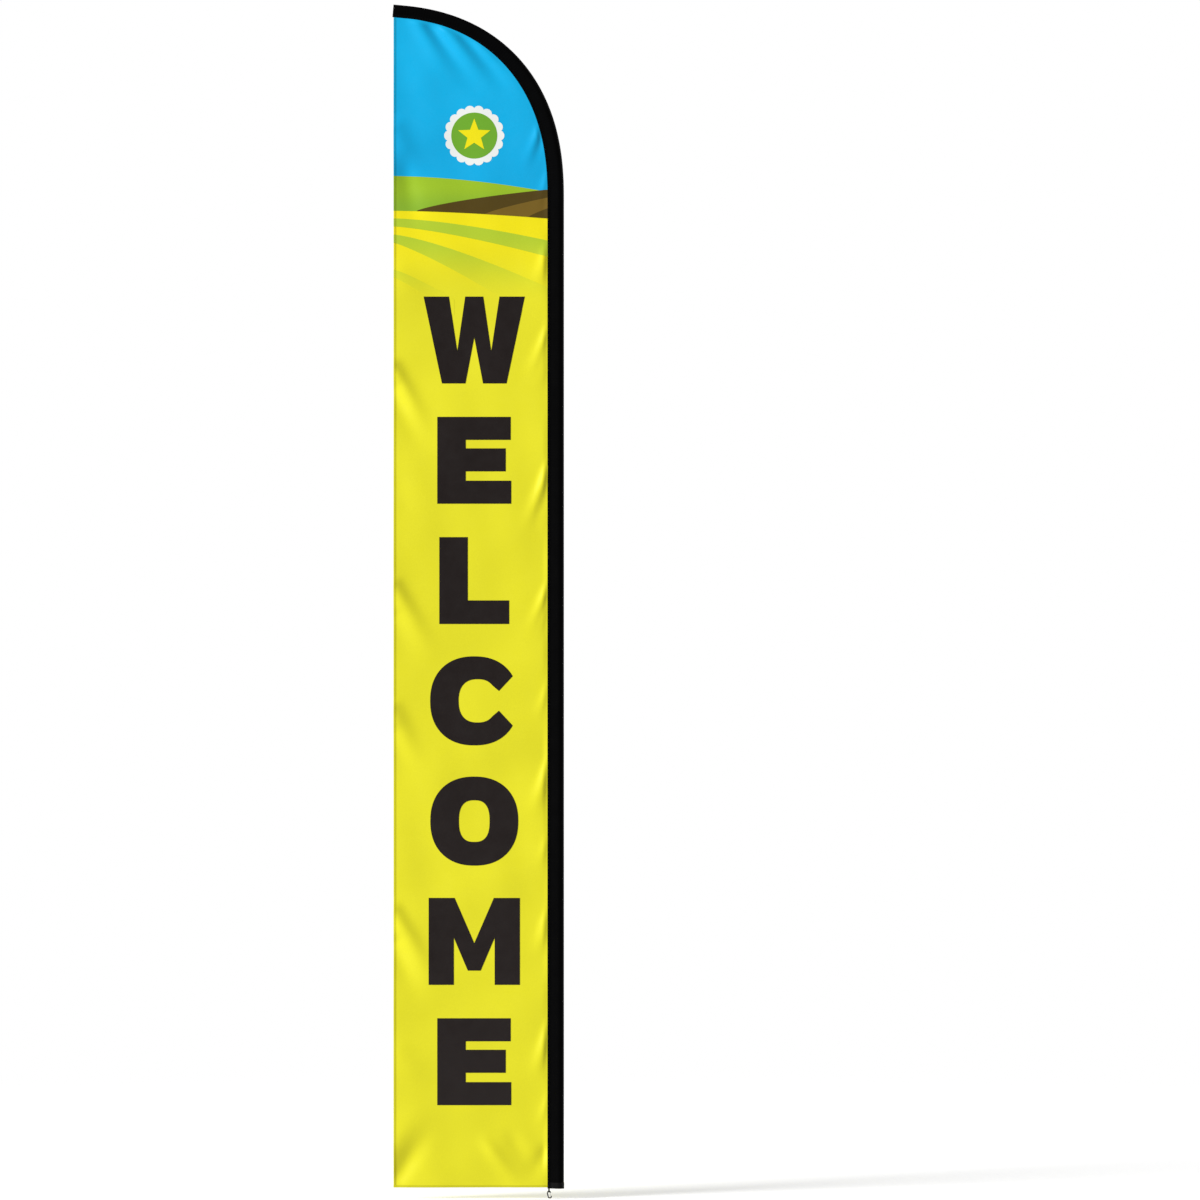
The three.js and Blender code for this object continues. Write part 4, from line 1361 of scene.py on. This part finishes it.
@dataclass(frozen=True)
class Stitching:
    """Rows of single stitches, each a slim six-pointed bead of thread."""

    cloth: FlagCloth
    sleeve: PoleSleeve
    pitch: float = 5.0
    length: float = 3.4
    thickness: float = 0.75
    rise: float = 0.45
    sky_from: float = 3690.0
    print_from: float = 3300.0  # above this height the stitches lie on a layer of colour
    print_lift: float = 0.42
    tape_outside: float = 2.1
    tab_outside: float = 4.6
    tab_middle: float = -37.2

    def _beads(self, rows: Sequence[StitchRow]) -> Shell:
        """Puts one bead between each pair of points of every row, all as one shell.

        A bead's points are its middle plus and minus half its length along the row, half its
        thickness across it, and its rise out of the cloth.
        """
        middle = np.concatenate([(row[1:] + row[:-1]) / 2.0 for row, _ in rows])
        along = unit(np.concatenate([row[1:] - row[:-1] for row, _ in rows]))
        out = unit(np.concatenate([(n[1:] + n[:-1]) / 2.0 for _, n in rows]))
        length, rise = along * self.length / 2.0, out * self.rise
        width = np.cross(along, out) * self.thickness / 2.0
        ends = [middle - length, middle + length, middle - width, middle + width]
        points = np.stack([*ends, middle + rise, middle - rise], axis=1)
        bead = np.reshape([0, 4, 2, 0, 2, 5, 0, 5, 3, 0, 3, 4, 1, 2, 4, 1, 5, 2, 1, 3, 5, 1, 4, 3], (8, 3))
        faces = bead[None] + 6 * np.arange(len(middle))[:, None, None]
        return Shell(points.reshape(-1, 3), triangles=faces.reshape(-1, 3))

    def _on_cloth(self, x: np.ndarray, z: np.ndarray, side: float) -> StitchRow:
        """Points on a face and its outward direction there, from its slopes."""
        step = 0.5
        printed = np.where(z > self.print_from, self.print_lift, 0.0)
        here = self.cloth.surface(x, z, side, printed)
        by_x = self.cloth.surface(x + step, z, side, printed) - here
        by_z = self.cloth.surface(x, z + step, side, printed) - here
        out = unit(np.cross(by_x, by_z))
        return here, out * np.where(out[..., 1:2] * side < 0.0, -1.0, 1.0)

    def _hems(self, low: float, high: float) -> Shell:
        """The hems' stitches between two heights on both faces, and the bottom hem's if low is 0."""
        line = self.cloth.line
        inset = self.cloth.stitch_line
        z = np.arange(max(low, self.cloth.bottom + inset), high, self.pitch)
        x = np.arange(line.free_edge + inset, line.outer_edge - line.width - 1.0, self.pitch)
        places = [(np.full_like(z, line.free_edge + inset), z)]
        if low <= 0.0:
            places.append((x, np.full_like(x, self.cloth.bottom + inset)))
        return self._beads([self._on_cloth(*place, side) for side in (FRONT, BACK) for place in places])

    def _on_sleeve(self, place: float, low: float, side: float) -> StitchRow:
        """Points along the sleeve at one place of its section, and their outward direction."""
        length = np.arange(low, self.cloth.line.length - 3.0, self.pitch)
        here = self.sleeve.points(length, np.full_like(length, place * side), self.cloth.line.wall)
        deep = self.sleeve.points(length, np.full_like(length, place * side), 0.0)
        return here, unit(here - deep)

    def _round_mouth(self, length: float) -> StitchRow:
        """Points round the mouth tape at one length along the sleeve, a pitch apart."""
        place = np.linspace(0.12, 5.88, 500)
        folded = np.where(place <= 3.0, place, place - 6.0)
        here = self.sleeve.points(np.full_like(place, length), folded, self.tape_outside)
        deep = self.sleeve.points(np.full_like(place, length), folded, 0.0)
        run = run_of(here)
        even = np.arange(0.0, run[-1], self.pitch * 0.8)
        point = np.stack([np.interp(even, run, axis) for axis in here.T], axis=-1)
        out = np.stack([np.interp(even, run, axis) for axis in (here - deep).T], axis=-1)
        return point, unit(out)

    def _on_tab(self) -> list[StitchRow]:
        """The box of stitches that holds each end of the clip's tab: two uprights and two bars."""
        rows = []
        upright, bar = np.arange(0.6, 12.9, 2.4), np.array([-1.2, 1.2]) + self.tab_middle
        boxes = [(self.tab_middle + x, upright) for x in (-1.7, 1.7)] + [(bar, z) for z in (0.6, 12.4)]
        for side in (FRONT, BACK):
            for x, z in boxes:
                point = np.stack(np.broadcast_arrays(x, side * self.tab_outside, z), axis=-1)
                rows.append((point, np.tile([0.0, side, 0.0], (len(point), 1))))
        return rows

    def build(self) -> list[bpy.types.Object]:
        """Makes the coloured hem stitches and the black ones of the sleeve, its mouth and the tab."""
        small = replace(self, length=1.9, thickness=0.55, rise=0.3)
        mouth = small._beads(self._on_tab() + [self._round_mouth(length) for length in (5.2, 16.8)])
        black = add_piece("mouth_and_tab_stitches", mouth, BLACK_THREAD, "flag")
        lines = ((0.36, 24.0), (0.78, 24.0), (2.62, 10.0))  # place in the section, and its start
        rows = [self._on_sleeve(place, low, side) for side in (FRONT, BACK) for place, low in lines]
        top = float(self.cloth.line.seam_z(np.array([self.cloth.line.free_edge + 30.0]))[0])
        return [
            add_piece("hem_stitches", self._hems(0.0, self.sky_from), YELLOW_THREAD, "flag"),
            add_piece("high_hem_stitches", self._hems(self.sky_from, top), SKY_THREAD, "flag"),
            black,
            add_piece("sleeve_stitches", self._beads(rows), BLACK_THREAD, "flag"),
        ]


# ---------------------------------------------------------------------------
# The pole
# ---------------------------------------------------------------------------


def ring_profile(bore: float, radius: float, low: float, high: float) -> Profile:
    """The profile of a plain tube."""
    return [(bore, low), (radius, low), (radius, high), (bore, high)]


def dome_profile(radius: float, height: float, base: float, steps: int) -> Profile:
    """The profile of a dome from its rim up to just short of its axis."""
    swell = np.linspace(0.0, math.pi / 2.0, steps)[:-1].tolist()
    return [(radius * math.cos(a), base + height * math.sin(a)) for a in swell]


@dataclass(frozen=True)
class Foot:
    """The swivel bush, its washer and the housing that turns on them."""

    bore: float = 11.0
    bush_radius: float = 13.2
    housing_bore: float = 13.5
    radius: float = 15.0
    flange: float = 3.0
    length: float = 85.0
    gap: float = 0.3
    roof: float = 8.0
    spigot: float = 34.0

    def build(self) -> list[bpy.types.Object]:
        """Makes the foot's pieces."""
        bore, wide, narrow, hollow = self.bore, self.radius, self.bush_radius, self.housing_bore
        bush = [
            (bore + 1.2, 0.0), (wide, 0.0), (wide, self.flange), (narrow, self.flange), (narrow, self.length),
            (bore + 0.6, self.length), (bore, self.length - 1.2), (bore, 1.6),
        ]
        low = self.flange + self.gap
        washer = ring_profile(hollow, wide, low, low + 1.0)
        foot = self.flange + 2.0 * self.gap + 1.0
        roof = self.length + self.gap
        top = roof + self.roof
        grip = wide - 0.45
        housing = [
            (hollow, foot), (wide, foot), (wide, foot + 9.0), (grip, foot + 10.0), (grip, foot + 12.0),
            (wide, foot + 13.0), (wide, top - 8.0), (grip, top - 7.0), (grip, top - 5.0), (wide, top - 4.0),
            (wide, top), (narrow, top), (narrow, top + self.spigot), (bore, top + self.spigot), (bore, roof),
            (hollow, roof),
        ]
        return [
            add_piece("foot_swivel_bush", turned(bush), NYLON, "foot", ["swivel_bush"]),
            add_piece("foot_thrust_washer", turned(washer, rounding=0.15), STEEL, "foot", ["thrust_washer"]),
            add_piece("foot_turning_housing", turned(housing), ALUMINIUM, "lower_pole", ["foot_housing"]),
        ]


@dataclass(frozen=True)
class PoleTube:
    """One turned piece of the pole: a tube, ferrule, collar or sleeve."""

    name: str
    node: str
    body: str
    finish: Finish
    bore: float
    radius: float
    low: float
    high: float
    grooves: int = 0

    def build(self) -> bpy.types.Object:
        """Makes the piece, with shallow grip grooves where it has them."""
        if self.grooves == 0:
            profile = ring_profile(self.bore, self.radius, self.low, self.high)
        else:
            pitch = (self.high - self.low) / (self.grooves + 1.0)
            middle = self.low + pitch * np.arange(1, self.grooves + 1)
            steps = ((0.0, -0.9), (-0.35, -0.5), (-0.35, 0.5), (0.0, 0.9))
            cuts = [(r + self.radius, h + z) for z in middle.tolist() for r, h in steps]
            plain = ring_profile(self.bore, self.radius, self.low, self.high)
            profile = plain[:2] + cuts + plain[2:]
        shell = turned(profile, rounding=0.3)
        return add_piece(self.name, shell, self.finish, self.body, [self.node])


@dataclass(frozen=True)
class Rivet:
    """A rivet or screw through the front of a tube, with a low head."""

    name: str
    node: str
    body: str
    radius: float
    height: float
    depth: float
    head: float = 0.3

    def build(self) -> bpy.types.Object:
        """Makes the rivet: shank, and a head that follows half a cosine."""
        rim, shank = 2.7, 1.5
        profile = [(0.0, -self.depth), (shank, -self.depth), (shank, -0.25), (rim, -0.25)]
        profile += dome_profile(rim, self.head, 0.0, 7) + [(0.0, self.head)]
        shell = turned(profile, (0.0, -self.radius, self.height), (0.0, -1.0, 0.0), 0.08, 32)
        return add_piece(self.name, shell, STEEL, self.body, [self.node])


@dataclass(frozen=True)
class Pole:
    """The pole's plug-together sections, from the lower tube to the rod in the bow."""

    line: SleeveLine
    joints: tuple[float, float, float] = (1168.0, 2336.0, 3504.0)
    engagement: float = 100.0
    collar: tuple[float, float] = (0.3, 12.3)
    plug_radius: float = 6.2
    end_radius: float = 3.5
    tip_lead: float = 108.0
    rod_short: float = 9.0  # the rod stops this far inside the sleeve's end

    def _sections(self) -> list[PoleTube]:
        """The turned pieces in order up the pole."""
        low, middle, high = self.joints
        grip, wrap = self.collar
        ferrule, plugged = 40.0, middle - self.engagement
        bodies = {
            "lower_pole": (
                ("lower_pole_tube", "lower_tube", ALUMINIUM, 13.5, 15.0, 93.6, low),
                ("lower_pole_ferrule", "lower_ferrule", STEEL, 15.3, 16.1, low - ferrule, low, 2),
            ),
            "middle_pole": (
                ("middle_pole_tube", "middle_tube", ALUMINIUM, 11.8, 13.2, low - self.engagement, middle),
                ("middle_stop_collar", "middle_collar", NYLON, 13.5, 16.1, low + grip, low + wrap, 2),
                ("middle_pole_ferrule", "middle_ferrule", STEEL, 13.5, 14.3, middle - ferrule, middle, 2),
            ),
            "upper_pole": (
                ("upper_pole_rod", "upper_rod", COMPOSITE, 6.5, 9.5, plugged, high),
                ("upper_pole_reducer", "upper_reducer", NYLON, 9.8, 11.5, plugged, middle - 0.3, 5),
                ("upper_stop_collar", "upper_collar", NYLON, 9.8, 14.3, middle + grip, middle + wrap, 2),
                ("upper_pole_ferrule", "upper_ferrule", STEEL, 9.8, 10.6, high - ferrule, high, 2),
            ),
            "flag": (("tip_stop_collar", "tip_collar", NYLON, 6.5, 10.6, high + grip, high + wrap, 2),),
        }
        return [PoleTube(name, node, body, *rest) for body in bodies for name, node, *rest in bodies[body]]

    def _fixings(self) -> list[Rivet]:
        """The rivets and the screw that hold the collars and the housing."""
        low, middle, high = (joint + sum(self.collar) / 2.0 for joint in self.joints)
        return [
            Rivet("foot_spigot_rivet", "foot_housing_rivet", "lower_pole", 15.0, 110.3, 4.0, 0.8),
            Rivet("middle_collar_fixing", "middle_collar_rivet", "middle_pole", 16.1, low, 4.2),
            Rivet("upper_collar_fixing", "upper_collar_rivet", "upper_pole", 14.3, middle, 7.6),
            Rivet("tip_collar_fixing", "tip_collar_screw", "flag", 10.6, high, 6.1),
        ]

    def _tip_axis(self) -> tuple[np.ndarray, np.ndarray]:
        """The pole's centre at the sleeve's end, and the direction it points there."""
        ends = self.line.centre(np.array([self.line.length, self.line.length - 20.0]))
        return ends[0], unit(ends[0] - ends[1])

    def _rod(self) -> Shell:
        """The tapered rod: radius falls evenly with length from its plug to its tip."""
        start = self.line.base - self.line.mouth - self.tip_lead
        plug = [start - self.engagement, start - self.engagement / 2.0]
        length = np.concatenate([plug, np.linspace(start, self.line.length - 1.0, 220)])
        path = self.line.centre(length)
        end, axis = self._tip_axis()
        past = (path - end) @ axis
        keep = (past < -self.rod_short) | (length < self.line.length - 200.0)
        path, length = path[keep], length[keep]
        share = np.clip((length - start) / (self.line.length - start), 0.0, 1.0)
        radius = self.plug_radius + (self.end_radius - self.plug_radius) * share
        return swept(path, radius, 32, (0.0, 1.0, 0.0))

    def build(self) -> list[bpy.types.Object]:
        """Makes every piece of the pole above its foot."""
        made = [section.build() for section in self._sections()]
        made += [fixing.build() for fixing in self._fixings()]
        made.append(add_piece("tip_bow_rod", self._rod(), COMPOSITE, "flag", ["tip_rod"]))
        end, axis = self._tip_axis()
        cap = [(0.0, -8.2), (3.8, -8.2), (3.8, -26.0), (5.5, -26.0), (5.5, -21.0), (5.1, -20.4), (5.1, -19.0)]
        cap += [(5.5, -18.4), (5.5, -9.0)] + dome_profile(5.5, 2.6, -6.6, 8) + [(0.0, -4.0)]
        outside, inside = dome_profile(7.0, 2.8, -4.6, 8), dome_profile(5.8, 1.8, -4.8, 8)
        pocket = [(0.0, -3.0)] + inside[::-1] + [(5.8, -45.0), (7.0, -45.0)] + outside + [(0.0, -1.8)]
        for name, profile, rounding, finish, node in (
            ("tip_rubber_cap", cap, 0.2, RUBBER, "tip_cap"),
            ("tip_webbing_pocket", pocket, 0.15, TAPE, "tip_pocket"),
        ):
            made.append(add_piece(name, turned(profile, end, axis, rounding, 48), finish, "flag", [node]))
        return made


# ---------------------------------------------------------------------------
# The clip
# ---------------------------------------------------------------------------


@dataclass(frozen=True)
class SnapClip:
    """The small snap clip under the sleeve, on its webbing tab."""

    eye: tuple[float, float, float] = (-37.2, 0.0, -17.874)
    bend: float = 5.9
    span: float = 13.0
    bar: float = 2.1
    tilt: float = math.radians(13.8)
    nose_short: float = 0.12
    wire: float = 0.8
    gap: float = 0.3
    boss: float = 2.3
    tab_width: float = 5.4
    tab_inside: float = 3.6
    tab_thickness: float = 1.0
    tab_sewn: float = 14.0
    tab_bend: float = -11.9  # height of the middle of the tab's loop

    def _placed(self, points: np.ndarray) -> np.ndarray:
        """Points of the hook's own frame, leant by its tilt and hung at its eye."""
        c, s = math.cos(-self.tilt), math.sin(-self.tilt)
        x = points[..., 0] * c + points[..., 2] * s
        z = -points[..., 0] * s + points[..., 2] * c
        return np.stack([x, points[..., 1], z], axis=-1) + np.array(self.eye)

    def _hook_path(self) -> np.ndarray:
        """Half a circle over the eye, straight down, and nearly half a circle to the nose."""
        upper = np.linspace(0.0, math.pi, 40)
        lower = np.linspace(math.pi, 2.0 * math.pi - self.nose_short, 40)
        straight = np.linspace(0.0, -self.span, 14)[1:-1]
        beside = np.full_like(straight, -self.bend)
        x = np.concatenate([np.cos(upper) * self.bend, beside, np.cos(lower) * self.bend])
        z = np.concatenate([np.sin(upper) * self.bend, straight, np.sin(lower) * self.bend - self.span])
        return np.stack([x, 0.0 * x, z], axis=-1)

    def _gate_path(self) -> np.ndarray:
        """The bent wire: in through the pivot, down beside the bar, and across behind the nose."""
        stand = self.bar + self.gap + self.wire
        bight_x, bight_z = self.bend - stand, self.wire - self.span
        leg = [
            (self.bend, self.bar / 3.0, 0.0), (self.bend, stand - self.wire, 0.0),
            (self.bend - 0.1 * stand, stand, -self.wire), (self.bend - 0.5 * stand, stand, 0.5 * bight_z),
            (bight_x + 0.1 * stand, stand, 0.9 * bight_z), (bight_x, stand - self.wire, bight_z),
        ]
        near = np.array(leg) * np.array([1.0, -1.0, 1.0])
        return smooth_path(np.concatenate([near, np.array(leg)[::-1]]), 120)

    def _tab(self) -> Shell:
        """The strap: up one side of the sleeve's mouth, under the hook's eye and up the other."""
        middle = self.tab_inside + self.tab_thickness / 2.0
        turn = np.linspace(-math.pi, 0.0, 25)
        rise = np.linspace(self.tab_bend, self.tab_sewn, 16)
        y = np.concatenate([np.full(15, -middle), middle * np.cos(turn), np.full(15, middle)])
        z = np.concatenate([rise[:0:-1], self.tab_bend + middle * np.sin(turn), rise[1:]])
        path = np.stack([y, z], axis=-1)
        run = unit(np.gradient(path, axis=0))
        out = np.stack([run[:, 1], -run[:, 0]], axis=-1)
        share = np.array([-1.0, -0.97, -0.88, -0.5, 0.0, 0.5, 0.88, 0.97, 1.0])
        thick = self.tab_thickness * np.array([0.25, 0.4, 0.5, 0.46, 0.48, 0.46, 0.5, 0.4, 0.25])
        x = self.eye[0] + share * self.tab_width / 2.0
        faces = []
        for side in (1.0, -1.0):
            flat = path[:, None] + side * out[:, None] * thick[None, :, None]
            wide = np.broadcast_to(x[None, :, None], flat.shape[:2] + (1,))
            faces.append(np.concatenate([wide, flat], axis=-1))
        return thin_solid(*faces, cloth_places(x[None, :], run_of(path)[:, None]))

    def build(self) -> list[bpy.types.Object]:
        """Makes the tab, hook, pivot boss and gate."""
        path = self._placed(self._hook_path())
        taper = np.linspace(0.0, 1.0, len(path))
        radius = self.bar * (1.0 - 0.12 * smooth_step((taper - 0.86) / 0.14))
        hook = swept(path, radius, 24, (0.0, 1.0, 0.0))
        pivot = self._placed(np.array([self.bend, 0.0, 0.0]))
        boss = [(0.95, -self.bar), (self.boss, -self.bar), (self.boss, self.bar), (0.95, self.bar)]
        path = self._placed(self._gate_path())
        gate = swept(path, np.full(len(path), self.wire), 14, (1.0, 0.0, 0.0))
        return [
            add_piece("clip_webbing_tab", self._tab(), TAPE, "flag", ["hook_tab"]),
            add_piece("clip_hook", hook, CLIP, "clip", ["hook_body"]),
            add_piece("clip_pivot_boss", turned(boss, pivot, (0.0, 1.0, 0.0), 0.3, 48), CLIP, "clip"),
            add_piece("clip_wire_gate", gate, WIRE, "gate", ["wire_gate"]),
        ]


# ---------------------------------------------------------------------------
# The studio
# ---------------------------------------------------------------------------


@dataclass(frozen=True)
class Studio:
    """A white studio: even light all round, two soft suns, a pale floor and the camera."""

    distance: float = 30.0
    frame_width: float = 4.38
    aim: tuple[float, float] = (0.149, 2.146)
    sensor: float = 36.0
    around: float = 0.4
    sun: float = 3.72
    sun_softness: float = 22.0
    floor_height: float = -0.0405
    floor_radius: float = 9.0

    def build(self) -> None:
        """Makes the light, the floor and the camera."""
        self._world()
        self._sun("key_sun", (-0.80, -0.50, 0.34))
        self._sun("back_sun", (0.80, 0.50, 0.34))
        self._floor()
        lens = bpy.data.cameras.new("camera")
        lens.type = "PERSP"
        lens.sensor_width = self.sensor
        lens.lens = self.sensor * self.distance / self.frame_width
        lens.clip_start, lens.clip_end = 0.5, 200.0
        camera = linked("camera", lens)
        camera.location = (self.aim[0], -self.distance, self.aim[1])
        camera.rotation_euler = (math.pi / 2.0, 0.0, 0.0)
        bpy.context.scene.camera = camera
        bpy.context.scene.view_settings.view_transform = "Standard"

    def _world(self) -> None:
        """White where the camera looks past everything, and a softer white as light."""
        world = bpy.data.worlds.new("studio")
        bpy.context.scene.world = world
        tree = ShaderTree(world, "Background")
        seen = tree.node("LightPath").outputs["Is Camera Ray"]
        level = tree.ranged(seen, (0.0, 1.0), (self.around, 1.0))
        tree.feed(tree.shader, Color=(1.0, 1.0, 1.0, 1.0), Strength=level)

    def _sun(self, name: str, toward: tuple[float, float, float]) -> None:
        """A soft sun that shines from a direction."""
        light = bpy.data.lights.new(name, "SUN")
        light.energy = self.sun
        light.angle = math.radians(self.sun_softness)
        linked(name, light).rotation_euler = Vector(toward).to_track_quat("Z", "Y").to_euler()

    def _floor(self) -> None:
        """A pale round floor that melts into the white around it."""
        ring = np.insert(directions(full_turn(96)) * self.floor_radius, 2, self.floor_height, axis=1)
        mesh = bpy.data.meshes.new("floor")
        mesh.from_pydata(ring.tolist(), [], [list(range(len(ring)))])
        paper = bpy.data.materials.new("floor_paper")
        tree = ShaderTree(paper)
        place = tree.node("TexCoord").outputs["Object"]
        away = tree.node("VectorMath", {"operation": "LENGTH"}, Vector=place)
        edge = (0.9, 0.9 * self.floor_radius)
        shown = tree.ranged(away.outputs["Value"], edge, (1.0, 0.0), "SMOOTHSTEP")
        tree.feed(tree.shader, Base_Color=(0.93, 0.93, 0.93, 1.0), Roughness=0.9)
        tree.feed(tree.shader, Specular_IOR_Level=0.1, Alpha=shown)
        mesh.materials.append(paper)
        floor = linked("floor", mesh)
        floor.visible_diffuse = False


def main() -> None:
    """Builds the flag piece by piece around the CAD frame."""
    logging.basicConfig(level=logging.INFO, format="%(name)s: %(message)s")
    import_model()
    Studio().build()

    line = SleeveLine()
    cloth = FlagCloth(line, FoldField(line))
    sleeve = PoleSleeve(line)
    cloths = cloth.build()
    faces = Print(cloth).build()
    sleeve_pieces = sleeve.build()
    hem_stitches, high_hem_stitches, mouth_stitches, sleeve_stitches = Stitching(cloth, sleeve).build()
    Foot().build()
    Pole(line).build()
    SnapClip().build()

    ply_area = round(cloth.area(), 3)
    width, length, area = sleeve.flat_size

    LOG.info("all pieces made")


if __name__ == "__main__":
    main()
